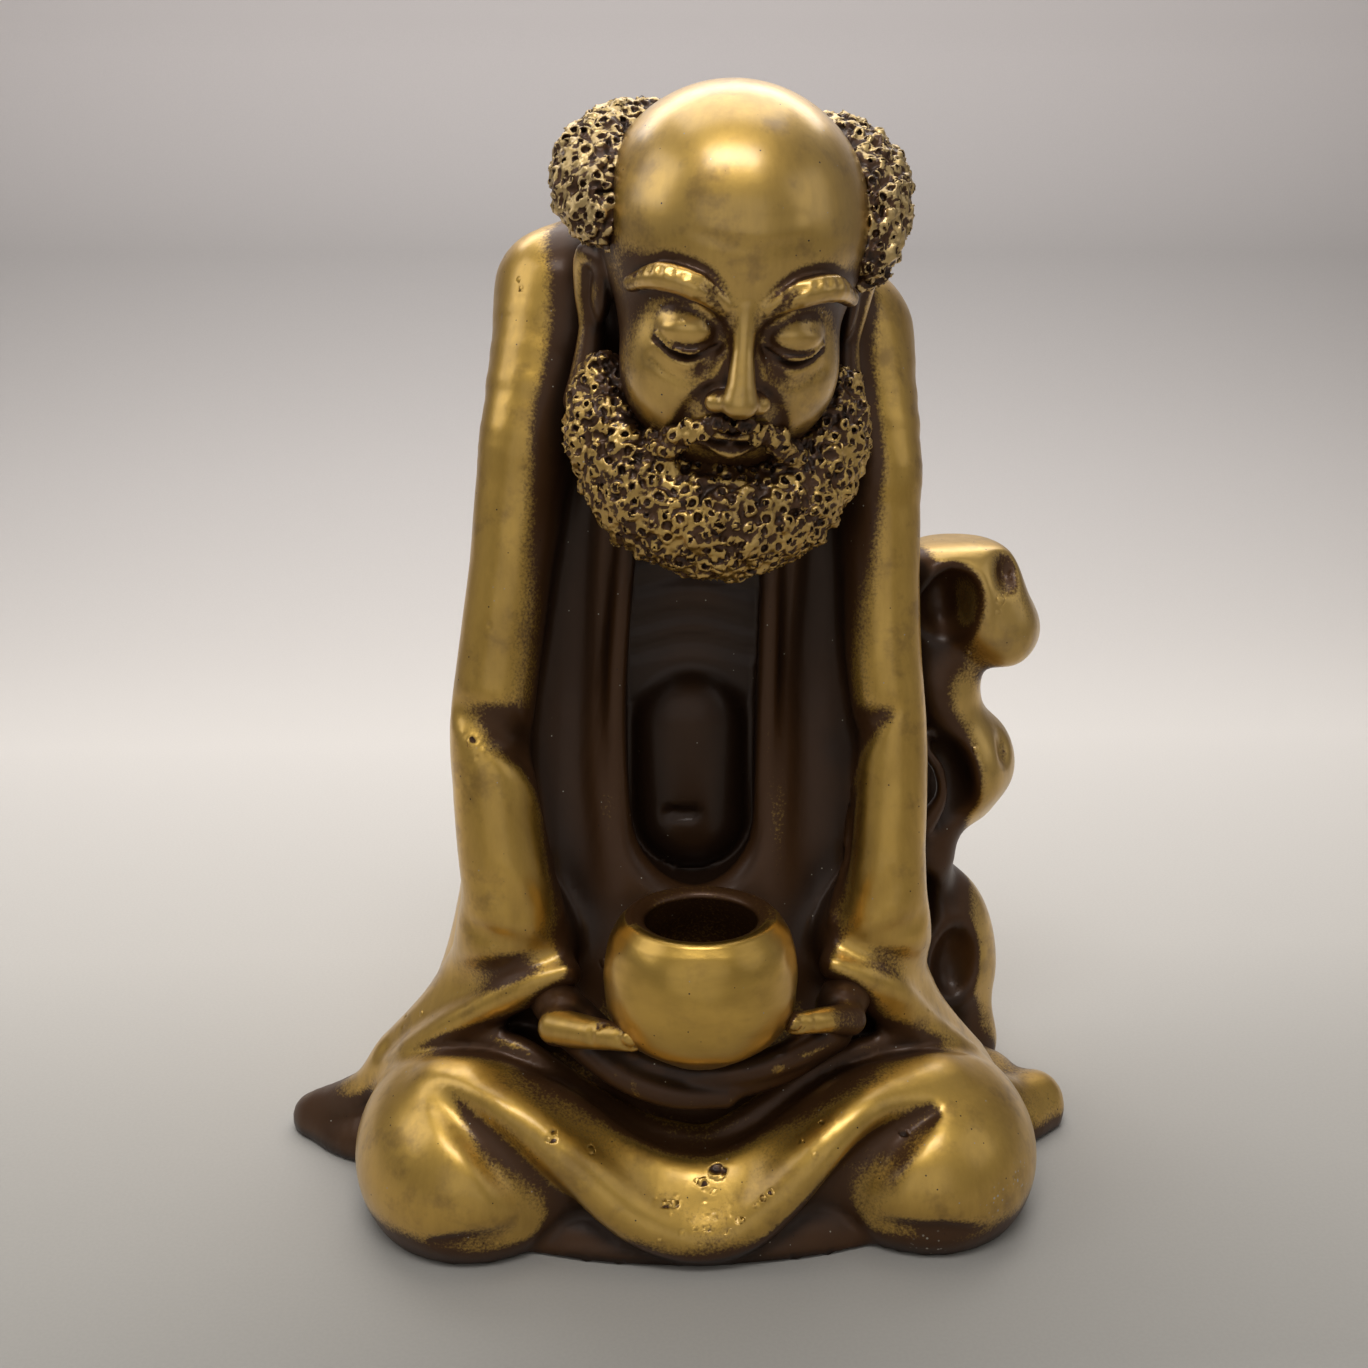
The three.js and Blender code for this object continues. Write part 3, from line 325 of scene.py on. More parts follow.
def skirt():
    """The cloth stretched from knee to knee, whose edge falls in a deep swag to the floor."""
    left = [(-41, -22, 22.6, 2.6), (-34.6, -27.4, 23, 2.9), (-28, -30.6, 21.2, 3.2),
            (-21.3, -33.4, 16.4, 3.6), (-14.7, -35.2, 10.6, 3.9), (-8.8, -36, 6.6, 4)]
    right = [(5.4, -36, 5.8, 4), (12.1, -35.2, 11.4, 3.9), (18.2, -33.2, 17.2, 3.6),
             (24.4, -30.2, 20.8, 3.2), (30.4, -27, 21.2, 2.9), (38, -22, 20.6, 2.6)]
    swag = tube([*left, (-1.4, -36.2, 4.2, 4), *right])
    cloth = tube([(-34, -22, 21, 5), (-24, -25.4, 19.6, 5), (-14, -28.4, 13, 5.4), (0, -30, 8, 5.6),
                  (14, -28, 14.4, 5.4), (24, -24.6, 19.8, 5), (34, -21, 19, 5)])
    return join(4, swag, cloth, ball((0, -16.5, 6), (25, 19, 10)))


CHEST_HALF_WIDTH, CHEST_FOOT, CHEST_FLOOR = 10.6, 58, 4


def chest_opening(x, y, z):
    up = np.maximum(CHEST_FOOT - z, 0)
    return np.maximum(np.sqrt(x * x + up * up) - CHEST_HALF_WIDTH, y - CHEST_FLOOR)


def lapels():
    half = [(10.4, 0.5, 122, 1.6), (12, -0.8, 90, 1.6), (12, -2, 62, 1.6), (8.4, -3.6, 51, 1.6)]
    return tube(across(half, (0, -5, 46.5, 1.6)))


def belly(x, y, z):
    """A long rounded pad."""
    middle, half_straight = 65, 8
    return ball((0, 5.2, 0), (9.3, 5.6, 9.3))(x, y, np.maximum(np.abs(z - middle) - half_straight, 0))


def ribs():
    out = []
    for z in (86.6, 91, 97.6, 102):
        end = (9.6, CHEST_FLOOR, z - 1.4, 1.2)
        out.append(stroke(across([end], (0, CHEST_FLOOR, z + 0.8, 1.5)), -0.85))
    return out


def creases():
    elbow_left = [(-38.4, -10.8, 80.8, 1.4), (-33.4, -13.2, 79.4, 2.4), (-29.6, -13, 76.8, 3),
                  (-26, -10.4, 73.4, 3)]
    elbow_right = [(30, -13, 80, 1.2), (26, -11.6, 76.4, 2.6), (23.4, -6, 72, 2.6)]
    seam_left = [(-27.9, -12.2, 72, 0.8), (-25.7, -11.8, 65.9, 1.2), (-24.2, -9.6, 57, 1.3),
                 (-22.9, -9.6, 50, 1.3), (-22, -13.5, 47, 1)]
    seam_right = [(24.9, -9.6, 70, 0.8), (25, -7, 64.2, 1.2), (24.4, -6.4, 57.5, 1.3),
                  (23.4, -8.4, 50.1, 1.3), (21.3, -12.9, 45.3, 1)]
    dent = [(31, -19, 54, 2), (27.6, -19.6, 50.6, 2.6)]
    cuff = [(38, -15.6, 47.4, 1), (34, -18, 46.2, 1.6), (28, -19.8, 44.6, 1.8), (23, -19.4, 43.4, 1.2)]
    valley = [(24, -18.4, 43, 2), (30.4, -17.4, 40.4, 2.8), (37.4, -14.8, 36.4, 3), (45, -10.6, 29.6, 2.6),
              (52, -6, 21, 2)]
    ridge = [(21, -19.4, 40.4, 1.4), (26, -19, 38, 2), (32, -17.8, 34.6, 2.2), (39, -14.8, 29.6, 2.2),
             (47, -10, 22, 2)]
    panel = [(14.4, 0.5, 120, 2), (15.2, -0.6, 95, 2.4), (15, -2, 70, 2.4), (12.6, -5, 48, 2.4)]
    single = ((elbow_left, -2.5), (elbow_right, -1.8), (seam_left, 0.9), (seam_right, 0.9))
    paired = ((dent, -0.9), (cuff, -1.6), (valley, -1.7), (ridge, 1), (panel, 0.9))
    lines = [*single, *[(line, height) for points, height in paired for line in both(points)]]
    return [stroke(line, height) for line, height in lines]


LAP_RIM = [
    (-47, -11, 26), (-39, -14.5, 28.6), (-31, -17.5, 28.4), (-25, -19.5, 25.8), (-19, -21.6, 22),
    (-13, -23.4, 18.6), (-6.5, -24.6, 16.4), (0, -25, 15.4), (5, -24.4, 17.2), (10, -23, 19.8),
    (18, -19.8, 24), (27.5, -16.8, 26), (37, -13.8, 26.2), (46, -10.6, 23.4),
]


def lap_folds():
    def along(forward, down, width):
        return [(x, y - forward, z - down, width) for x, y, z in LAP_RIM]

    left = [(-41, -28, 25, 1.6), (-36, -31.8, 22, 2.6), (-30.6, -35, 16.6, 3), (-25, -37.2, 10.6, 3),
            (-20, -38.6, 5, 2.8), (-16, -39.2, 1.2, 2.4)]
    right = [(34.4, -30.6, 20.6, 1.4), (29.6, -33, 18.8, 2.6), (25, -35, 15.6, 3), (20.6, -37, 10.8, 3),
             (16, -38.4, 5.2, 2.8), (12, -39.2, 1.2, 2.4)]
    shin = [(41, -37, 5.6, 1), (35, -38.5, 6.2, 1.8), (27, -37.4, 5.8, 1.6)]
    lines = [(along(-4.6, 0.6, 3), -2.4), (along(3, 0.8, 1.8), -0.8), (left, -2.8), (right, -2.8)]
    return [stroke(line, height) for line, height in lines + [(line, -1) for line in both(shin)]]


def back_folds():
    """Long shallow folds down the back, fanning out from the neck to the hem."""
    spine = [(0.3, 24, 138, 2), (0.62, 32, 105, 4), (0.8, 34, 70, 4.4), (0.95, 33, 35, 4.4),
             (1.25, 37, 2, 5)]
    count, half_fan, bend, valley, ridge = 7, 34, 11, -1.5, 1.2
    out = []
    for i in range(count):
        fan = i / (count - 1) * 2 - 1
        line = [(fan * half_fan * s, y - bend * (fan * s) ** 2, z, width) for s, y, z, width in spine]
        out.append(stroke(line, valley if i % 2 else ridge))
    return out


def leaning(mass):
    """The upper body leans a little towards +X."""

    def leant(x, y, z):
        share = rise(z, LEAN_FROM, LEAN_TO)
        low = LEAN_LOW * rise(z, 30, LEAN_FROM)
        return mass(x - (low + (LEAN_HIGH - low) * share), y, z + LEAN_TILT * x * share)

    return leant


def on_floor(mass):
    return lambda x, y, z: np.maximum(mass(x, y, z), -z)


def robe():
    upper = join(4.5, mantle(), *map(sleeve, SIDES))
    robed = fold(join(6, upper, *map(hem, SIDES)), *creases(), *back_folds())
    opened = join(1.6, carve(2, robed, chest_opening), lapels(), belly)
    chest = fold(opened, *ribs(), stroke([(-3.4, 0.5, 59, 1), (0, 0.5, 59, 1)], -1.4))
    taper = [rise(abs(x), 34, 46) for x, _, _ in LAP_RIM]
    rim = [(x, y + 0.6, z - 1.6 - 2.5 * end, 2 - 1.2 * end) for (x, y, z), end in zip(LAP_RIM, taper)]
    border = ball((0, -18, 0.6), (42, 20, 8.6))
    draped = fold(join(4, legs(), skirt()), *lap_folds())
    seat = join(1.2, join(0.8, draped, tube(rim)), border)
    neck = tube([(2, 12, 137, 14), (3.4, 0, 140, 14)])
    return join(5, leaning(join(3, chest, seat)), neck)


# Hands


def hand(side):
    if side < 0:
        thumb = [(-22.6, -24.5, 33.6, 2.9), (-18, -28.4, 34.7, 2.5), (-14, -31.4, 35.6, 2.1),
                 (-11.2, -32.8, 35.9, 1.95)]
        upper = [(-21, -22, 32.5, 3.2), (-13.4, -27.4, 27.6, 2.5), (-5, -29.2, 24.6, 2.3),
                 (3, -28.8, 23.8, 2)]
        lower = [(-19, -21, 33, 3), (-12, -26, 29.6, 2.3), (-3.4, -27.4, 27, 2.1), (1, -27.4, 26.4, 1.8)]
    else:
        thumb = [(22.6, -24.4, 33.8, 2.5), (18.6, -27.8, 35.6, 2), (15.6, -29.8, 36.4, 1.8),
                 (13.2, -30.9, 36.8, 1.7)]
        upper = [(20.4, -22, 31.6, 3.2), (13, -26.8, 29.2, 2.4), (5, -28.2, 27.4, 2.1),
                 (-1.4, -27.8, 27, 1.8)]
        lower = [(20, -22, 30, 3), (12, -26, 26.4, 2.3), (5.4, -27.6, 24.8, 2)]
    wrist = flip(side, [(25.4, -12, 35.4, 4), (21.6, -20.6, 34, 3.9)])
    return join(1.2, *map(tube, (thumb, wrist, upper, lower)))


def finished_hand(side):
    """The hand with its thumbnail, the groove round it and the nicks of the knuckle."""
    if side < 0:
        nail = ((-11.4, -34, 36.6), (1.35, 1, 1.15))
        nicks = [[(x, -31.2, 37.2, 0.5), (x + 0.1, -31.7, 35.2, 0.5)] for x in (-17.2, -16, -15.1)]
    else:
        nail = ((13, -31.9, 37.3), (1.1, 0.9, 1))
        nicks = [[(16.6, -31, 37.8, 0.5), (16.7, -31.6, 36.2, 0.5)]]
    (x, y, z), gap, width = nail[0], 0.4, 0.45
    turns = np.linspace(gap, 2 * math.pi - gap, 9)
    groove = [(x + 1.5 * math.cos(a), y - 0.2, z + 1.3 * math.sin(a), width) for a in turns]
    lines = [stroke(line, -0.4) for line in (groove, *nicks)]
    return join(0.3, fold(hand(side), *lines), ball(*nail))


# The head, in a frame of its own: origin in the middle of the skull, face towards -Y


def cranium():
    cheeks = [ball((8.6 * side, -12.3, -14), (5.8, 5.6, 7)) for side in SIDES]
    return join(5, ball((0, 2, 2.5), SKULL), ball((0, -5.5, -13.5), (15.2, 15, 20.5)), *cheeks)


def features():
    """Nose, lips and brows."""
    half_lip = [(4.7, -18, -21, 0.5), (1.8, -20.3, -20.4, 1)]
    brow = [(3, -18.9, -2.6, 1.2), (7, -19, -0.2, 1.9), (11.6, -17, 0.2, 1.9), (15, -13.4, -2.2, 1.2)]
    parts = [
        tube([(0, -18.4, -3, 1.5), (0, -20.4, -8, 1.5), (0, -22.6, -12.4, 2)]),
        ball((0, -23.2, -14.4), (2.6, 2.4, 2.1)),
        tube(across(half_lip, (0, -20.5, -20.8, 0.8))),
        tube(across([(3.9, -18.3, -22, 0.6)], (0, -19.9, -22.6, 1.35))),
    ]
    for side in SIDES:
        parts += [ball((2.9 * side, -21, -15), (1.8, 2.2, 1.6)), tube(flip(side, brow))]
    return join(1.2, *parts)


def face_lines():
    """The parting of the lips, the groove under the nose and the lines of the cheeks and forehead."""
    lines = [
        (across([(5.2, -17.8, -21.4, 0.8)], (0, -21, -21.6, 1)), -0.9),
        ([(0, -21.4, -17.4, 0.8), (0, -20.9, -19.4, 1)], -0.5),
        (across([(8, -17.4, 6.4, 1)], (0, -19.4, 5.6, 1.2)), -0.16),
        (across([(6.4, -16.8, 9.6, 1)], (0, -18.4, 9, 1.2)), -0.12),
    ]
    cheek = [(3.8, -20.4, -14, 1), (6, -19.2, -17, 1.3), (7.2, -17.2, -20, 1)]
    nose = [(2.7, -19, -7.2, 0.8), (4.6, -19.8, -11, 1)]
    for side in SIDES:
        lines += [(flip(side, cheek), -0.7), (flip(side, nose), -0.4)]
    return [stroke(line, height) for line, height in lines]


def eye(side):
    """A lowered eye: the ball, the long upper lid that covers most of it, and the lower lid's thin rim."""
    lid = ball((7 * side, -15.9, -6.7), (4.4, 3.75, 3.4))
    lash = tube(flip(side, [(2.9, -17.8, -7.6, 0.45), (5, -19, -8.8, 0.55), (7.2, -19.4, -9.2, 0.6),
                            (9.4, -18.7, -8.9, 0.55), (11.4, -16.8, -7.8, 0.45)]))
    under = tube(flip(side, [(3.4, -17.8, -9, 0.5), (7.2, -18.9, -10.9, 0.7), (11, -16.8, -9, 0.5)]))
    return join(0.5, lid, lash, under)


def eye_lines(side):
    above = [(3.2, -18.6, -5.4, 0.8), (7.2, -19.6, -3.9, 1), (11.4, -17.2, -5.2, 0.8)]
    slit = [(3, -18.2, -8.4, 0.6), (7.2, -19.8, -10, 0.8), (11.2, -16.8, -8.4, 0.6)]
    bag = [(3.8, -18.8, -11.4, 0.9), (7.4, -19.4, -13, 1.1), (11.8, -17, -11.2, 0.9)]
    return [stroke(flip(side, above), -0.55), stroke(flip(side, slit), -0.6), stroke(flip(side, bag), -0.35)]


def brow_hairs(side):
    """Short slanting nicks across the brow."""
    brow = [(4, -19.8, -1.8, 1), (7, -20.2, 0.4, 1), (11.6, -18.2, 0.8, 1), (14.4, -15, -1, 1)]
    places = smooth_path(brow, 3)[:, :3]
    nicks = [[(x - 0.7, y, z - 1.5, 0.5), (x + 0.7, y, z + 1.5, 0.5)] for x, y, z in places]
    return [stroke(flip(side, nick), -0.3) for nick in nicks]


def ear(side):
    helix = [(17.6, -0.5, -3.5, 1.9), (20, 2.4, -4, 2.1), (20, 3.2, -9, 1.9), (19, 1.2, -14, 1.9),
             (19.4, -1.5, -20, 2.4), (19.8, -2.5, -24, 2.9)]
    return join(1.2, tube(flip(side, helix)), ball((18 * side, 0.6, -8), (1.6, 3.6, 5.2)))


def scattered(mass, low, high, spacing, seed):
    """Points strewn over a surface, no two of them nearer than the spacing."""
    points, _ = skin(mass, low, high, 0.4 * spacing)
    points = points[np.random.default_rng(seed).permutation(len(points))]
    size = spacing / math.sqrt(3)
    taken, kept = {}, []
    near = [(a - 2, b - 2, c - 2) for a, b, c in np.ndindex(5, 5, 5)]
    for point, (i, j, k) in zip(points, np.floor(points / size).astype(int).tolist()):
        others = [taken[(i + a, j + b, k + c)] for a, b, c in near if (i + a, j + b, k + c) in taken]
        if all(((point - other) ** 2).sum() > spacing**2 for other in others):
            taken[(i, j, k)] = point
            kept.append(point)
    return np.array(kept), size


def curls(mass, low, high, spacing, height, seed):
    """Tight curls: a pit in a raised ring at every strewn point, and thin crooked ridges between."""
    seeds, size = scattered(mass, low, high, spacing, seed)
    girths = np.random.default_rng(seed).uniform(0.7, 1.2, len(seeds))
    origin = np.floor(seeds.min(0) / size).astype(int) - 2
    cells = np.floor(seeds / size).astype(int) - origin
    shape = cells.max(0) + 3
    nowhere = 1e3
    table = np.full((*shape, 4), nowhere)
    table[tuple(cells.T)] = np.column_stack([seeds, girths])
    table = table.reshape(-1, 4)
    stride = stride_of(shape)

    def relief(x, y, z):
        bent = [v + 0.5 * (rough(x + 9 * n, y, z) - 0.5) for n, v in enumerate((x, y, z))]
        at = np.floor(np.stack(bent, 1) / size).astype(int) - origin
        inside = ((at >= 1) & (at < shape - 1)).all(1)
        out = np.zeros(x.shape)
        px, py, pz = [v[inside] for v in bent]
        flat = at[inside] @ stride
        best = np.full(px.shape, 4.0)
        for step in np.ndindex(3, 3, 3):
            sx, sy, sz, girth = table[flat + (np.array(step) - 1) @ stride].T
            best = np.minimum(best, np.sqrt((px - sx) ** 2 + (py - sy) ** 2 + (pz - sz) ** 2) / girth)
        r = best / spacing
        ring, pit = np.exp(-(((r - 0.46) / 0.14) ** 2)), np.exp(-((r / 0.27) ** 4))
        ridge = 1 - np.abs(2 * rough(px / 1.15, py / 1.15, pz / 1.15 + 20) - 1)
        out[inside] = height * (0.75 * ring - 0.8 * pit + 0.8 * (ridge**2 - 0.5))
        return out

    return relief


def knots(pace, height):
    """Low round swellings, as of locks of curly hair."""

    def relief(x, y, z):
        a = np.sin(x * pace + 1.3 * np.sin(0.7 * y)) * np.sin(y * pace + 1.1 * np.sin(0.8 * z))
        return height * a * np.sin(z * pace + 1.2 * np.sin(0.75 * x))

    return relief


def plain_hair():
    left = [(-18.4, -3.4, 3, 3.8), (-19.7, 0.4, 5.2, 5.6), (-19.2, 6.6, 7.2, 6.3), (-13.4, 14.6, 7.4, 7.6)]
    right = [(13.4, 14.6, 8, 7.4), (18.2, 7, 8.2, 6.6), (18.8, 0.6, 5.4, 6), (18.4, -3.6, 1, 4.4)]
    return tube([*left, (0, 19, 5, 8.4), *right])


def plain_beard():
    half = [(17.6, -5, -19, 3.2), (16, -9, -26, 6.2), (9.4, -13.5, -33.5, 8)]
    chin = tube(across(half, (0, -15.5, -35.3, 9)))
    moustache = [(1.6, -20.3, -18.6, 1.2), (6, -18.6, -21, 1.6), (10.4, -15, -26, 2.4)]
    return join(1.5, chin, *map(tube, both(moustache)))


def lumpy_hair():
    return fold(plain_hair(), knots(0.9, 0.65))


def lumpy_beard():
    return fold(plain_beard(), knots(0.85, 0.7))


# The box the curls lie in, how far apart and how high they are, and the seed of their places
HAIR_CURLS = ((-30, -12, -12), (30, 32, 20), 1.7, 0.75, 5)
BEARD_CURLS = ((-26, -28, -48), (26, 4, -12), 1.65, 0.72, 9)


def curly(lumpy, *curl):
    return fold(lumpy, curls(lumpy, *curl))


def rubbed_tips(smooth):
    """Only the tips of the curls, the part of them that stands proud, are rubbed bright."""
    placed = place_head(smooth)

    def dark(points, normals):
        blotch = 0.5 * (rough(*(points.T / 2.6)) - 0.5)
        return 0.66 + blotch - 0.95 * rise(placed(*points.T), -0.1, 0.5)

    return dark


def bare_head():
    sockets = [ball((7 * side, -20.6, -6.8), (4.9, 3.6, 3.5)) for side in SIDES]
    nostrils = [ball((1.5 * side, -22.8, -16.6), (0.8, 1.1, 0.9)) for side in SIDES]
    face = join(0.8, carve(1.8, cranium(), *sockets), features(), *map(eye, SIDES))
    eyes = [line for side in SIDES for line in eye_lines(side) + brow_hairs(side)]
    lined = fold(face, *face_lines(), *eyes)
    return join(0.8, carve(0.4, lined, *nostrils), *map(ear, SIDES))


HEAD_POSE = (
    Matrix.Translation(HEAD_CENTRE)
    @ Euler([math.radians(v) for v in (HEAD_NOD, HEAD_ROLL, HEAD_TURN)], "XYZ").to_matrix().to_4x4()
)
TO_HEAD = np.array(HEAD_POSE.inverted())


def place_head(mass):
    """Turns a mass made in the head's frame into the body's frame."""

    def placed(x, y, z):
        return mass(*[a * x + b * y + c * z + d for a, b, c, d in TO_HEAD[:3]])

    return placed


# The rock


def rock():
    lumps = [((46, 23, 92), (12.5, 12, 10.5)), ((54, 21, 85.4), (7.6, 9, 6.8)), ((44, 23, 75), (7.5, 9, 12)),
             ((49.4, 23.5, 59), (8.8, 10, 11.2)), ((41, 23, 43), (7.5, 9, 11)),
             ((46.3, 24, 22), (10.6, 11, 17)), ((47.6, 23.5, 5), (10.8, 11.5, 10))]
    hollows = [((43.2, 11.5, 90.6), (5, 9, 6.4)), ((53.4, 14, 96.6), (1.5, 3.4, 3.2)),
               ((55.4, 16.4, 64.2), (1.4, 3, 2.8)), ((44.8, 12.5, 58), (5, 6.6, 9)),
               ((41.5, 13, 35), (3, 7, 6)), ((47.6, 11.5, 24.2), (5.4, 7, 7.6)), ((50, 36, 78), (7, 6, 5)),
               ((42, 36, 24), (4.5, 6, 7)), ((36, 34, 88), (5, 7, 5.5))]
    rib = [(42, 19.5, 68, 1.9), (40.6, 15, 65, 1.7), (43, 13.8, 61, 1.6), (43.6, 13.8, 56, 1.6),
           (41, 14.6, 50.6, 1.7), (41.5, 19, 47, 1.9)]
    carved = carve(2.2, join(5, *[ball(*lump) for lump in lumps]), *[ball(*hollow) for hollow in hollows])
    pierced = join(1.2, carved, tube(rib))

    def wrinkled(x, y, z):
        wrinkles = 0.8 * np.sin(x * 0.33 + z * 0.11) * np.cos(y * 0.3 - z * 0.17)
        return soft_max(pierced(x, y, z) + wrinkles, z - ROCK_TOP, 2)

    return wrinkled


# Casting pits: where each lies, as x and z on the front, and half its width and height

ROBE_PITS = [
    (-23.4, 20.6, 0.65, 0.3), (-22.9, 21.3, 0.3, 0.6), (-17.6, 18.3, 0.45, 0.75), (1.6, 13.3, 1.05, 1.2),
    (-0.8, 12.3, 0.75, 0.45), (-6.3, 10.3, 0.65, 0.4), (-5.1, 10.2, 0.65, 0.45), (7.2, 10.7, 0.4, 0.3),
    (8.3, 11.8, 0.5, 0.35), (9.4, 12.8, 0.45, 0.3), (4.7, 8.6, 0.55, 0.35), (2.8, 7.2, 0.55, 0.3),
    (-0.4, 7.3, 0.4, 0.3), (16, 17.7, 0.35, 0.6), (14.2, 18.9, 0.35, 0.3), (17.3, 21.1, 0.3, 0.35),
    (-15.6, 9.8, 0.3, 0.3), (30.2, 18.3, 0.8, 0.45), (28.9, 18, 0.5, 0.35), (-29.6, 138.7, 0.3, 0.45),
    (-26.8, 144.1, 0.35, 0.35), (-26.4, 142.8, 0.3, 0.3), (-31.8, 94, 0.3, 0.4), (-35.1, 76, 0.55, 0.6),
    (-34, 73.9, 0.4, 0.35), (-15.3, 36.4, 0.6, 0.7), (47.1, 11.5, 0.35, 0.3), (-45.5, 27.7, 0.6, 0.5),
    (-48.5, 25.7, 0.35, 0.3), (-49, 24.1, 0.35, 0.3),
]
PINHOLES = 34  # strewn low on the front of the swag
ROCK_PITS = [(51.9, 91.7, 0.5, 0.8), (51.5, 89.7, 0.4, 0.5), (47.5, 82, 0.5, 0.4), (49.5, 65, 0.4, 0.6)]


def pinholes():
    random = np.random.default_rng(11)
    out = []
    for _ in range(PINHOLES):
        x, z = random.normal(-3, 5), random.uniform(5, 11.5)
        out.append((x, z, *random.uniform(0.16, 0.3, 2)))
    return out


def sunk_pits(field, pits):
    """Ragged pits in the front of a piece, and their places."""
    depth = np.arange(-46, 30, 0.25)
    places, tools = [], []
    for x, z, half_width, half_height in pits:
        inside = field(np.full(depth.shape, x), depth, np.full(depth.shape, z)) < 0
        places.append((x, depth[np.argmax(inside)], z))
        radii = (1.35 * half_width, 1.1 * max(half_width, half_height), 1.35 * half_height)
        tools.append(ball(places[-1], radii))

    def ragged(x, y, z):
        away, reach = 9.0, 3
        out = np.full(x.shape, away)
        close = np.min([(x - p[0]) ** 2 + (y - p[1]) ** 2 + (z - p[2]) ** 2 for p in places], 0) < reach**2
        spot = (x[close], y[close], z[close])
        grit = 0.5 * (rough(*[v * 1.9 for v in spot]) - 0.5)
        out[close] = np.min([tool(*spot) for tool in tools], 0) + grit
        return out

    return carve(0.1, field, ragged), np.array(places)


# Meshing


def on_grid(field, axes):
    """The field at every node of a grid."""
    grid = np.meshgrid(*axes, indexing="ij")
    return field(*[v.ravel() for v in grid]).reshape(grid[0].shape)


def lattice(field, low, high, cell):
    """The field on a grid of nodes. Blocks away from the surface keep the value of their corner."""
    block = 4
    low = np.array(low, float)
    count = np.ceil((np.array(high) - low) / (cell * block)).astype(int)
    axes = [l + np.arange(n + 1) * cell * block for l, n in zip(low, count)]
    coarse = on_grid(field, axes)
    near = np.abs(coarse) < cell * block * 1.25
    active = np.zeros(count, bool)
    for a, b, c in np.ndindex(2, 2, 2):
        active |= near[a : a + count[0], b : b + count[1], c : c + count[2]]
    nearest_block = [(np.arange(n * block + 1) + block // 2) // block for n in count]
    values = coarse[tuple(np.meshgrid(*nearest_block, indexing="ij"))]
    wanted = np.zeros(values.shape, bool)
    for i, j, k in np.argwhere(active) * block:
        wanted[i : i + block + 1, j : j + block + 1, k : k + block + 1] = True
    values[wanted] = field(*(low + np.argwhere(wanted) * cell).T)
    return values, low


def skin(field, low, high, cell):
    """A net of quads over the surface: its points and its faces."""
    values, low = lattice(field, low, high, cell)
    shape = np.array(values.shape) - 1
    stride = stride_of(shape)
    size = int(shape.prod())
    total, weight = np.zeros((3, size)), np.zeros(size)
    quads = []
    for axis in range(3):
        a = np.moveaxis(values, axis, 0)[:-1]
        b = np.moveaxis(values, axis, 0)[1:]
        crossing = np.argwhere((a < 0) != (b < 0))
        start, end = a[tuple(crossing.T)], b[tuple(crossing.T)]
        u, v = [n for n in range(3) if n != axis]
        node = np.zeros_like(crossing)
        node[:, axis], node[:, u], node[:, v] = crossing.T
        place = node.astype(float)
        place[:, axis] += start / (start - end)
        cells = []
        for du, dv in ((-1, -1), (0, -1), (0, 0), (-1, 0)):
            cell_of = node.copy()
            cell_of[:, u] += du
            cell_of[:, v] += dv
            good = ((cell_of >= 0) & (cell_of < shape)).all(1)
            flat = cell_of @ stride
            for n in range(3):
                total[n] += np.bincount(flat[good], place[good, n], size)
            weight += np.bincount(flat[good], minlength=size)
            cells.append(np.where(good, flat, -1))
        quad = np.stack(cells, 1)
        outward = (start < 0) != (axis == 1)
        quad[~outward] = quad[~outward][:, ::-1]
        quads.append(quad[(quad >= 0).all(1)])
    used = weight > 0
    number = np.cumsum(used) - 1
    points = low + (total[:, used] / weight[used]).T * cell
    return settle(field, points, cell), number[np.concatenate(quads)]


def slope_of(field, points, reach):
    steps = reach * np.eye(3)
    return np.stack([field(*(points + s).T) - field(*(points - s).T) for s in steps], 1) / (2 * reach)


def settle(field, points, cell, rounds=2):
    """Moves the points onto the surface down the field's slope."""
    for _ in range(rounds):
        slope = slope_of(field, points, 0.1 * cell)
        step = field(*points.T)[:, None] * slope / ((slope**2).sum(1)[:, None] + SMALL)
        length = np.linalg.norm(step, axis=1)[:, None]
        points = points - step * np.minimum(1, 0.5 * cell / (length + TINY))
    return points


def place_points(mesh, points):
    mesh.vertices.foreach_set("co", (points * MM).astype(np.float32).ravel())


def mesh_object(name, points, faces):
    mesh = bpy.data.meshes.new(name)
    mesh.vertices.add(len(points))
    place_points(mesh, points)
    sides = faces.shape[1]
    mesh.loops.add(faces.size)
    mesh.loops.foreach_set("vertex_index", faces.astype(np.int32).ravel())
    mesh.polygons.add(len(faces))
    mesh.polygons.foreach_set("loop_start", (np.arange(len(faces)) * sides).astype(np.int32))
    mesh.polygons.foreach_set("use_smooth", np.ones(len(faces), bool))
    mesh.update(calc_edges=True)
    obj = bpy.data.objects.new(name, mesh)
    bpy.context.scene.collection.objects.link(obj)
    return obj


def piece(name, points, faces, node):
    """A mesh of the part, which stands for its node of the solids."""
    obj = mesh_object(name, points, faces)
    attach(obj, "root")
    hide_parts(node)
    return obj


def keep(obj, **measures):
    """Keeps one number a point under each name, for the material to read."""
    for name, values in measures.items():
        attribute = obj.data.attributes.new(name, "FLOAT", "POINT")
        attribute.data.foreach_set("value", values.astype(np.float32))


# Shade: how deep a point lies in a hollow, which is where the brown patina stays after polishing


bowl_profile = through(BOWL_OUTSIDE)


def bowl_mass(x, y, z):
    up = z - BOWL_FLOOR
    side = np.hypot(x - BOWL_CENTRE[0], y - BOWL_CENTRE[1]) - bowl_profile(up)
    return np.maximum(side, np.maximum(up - BOWL_HEIGHT, -up))


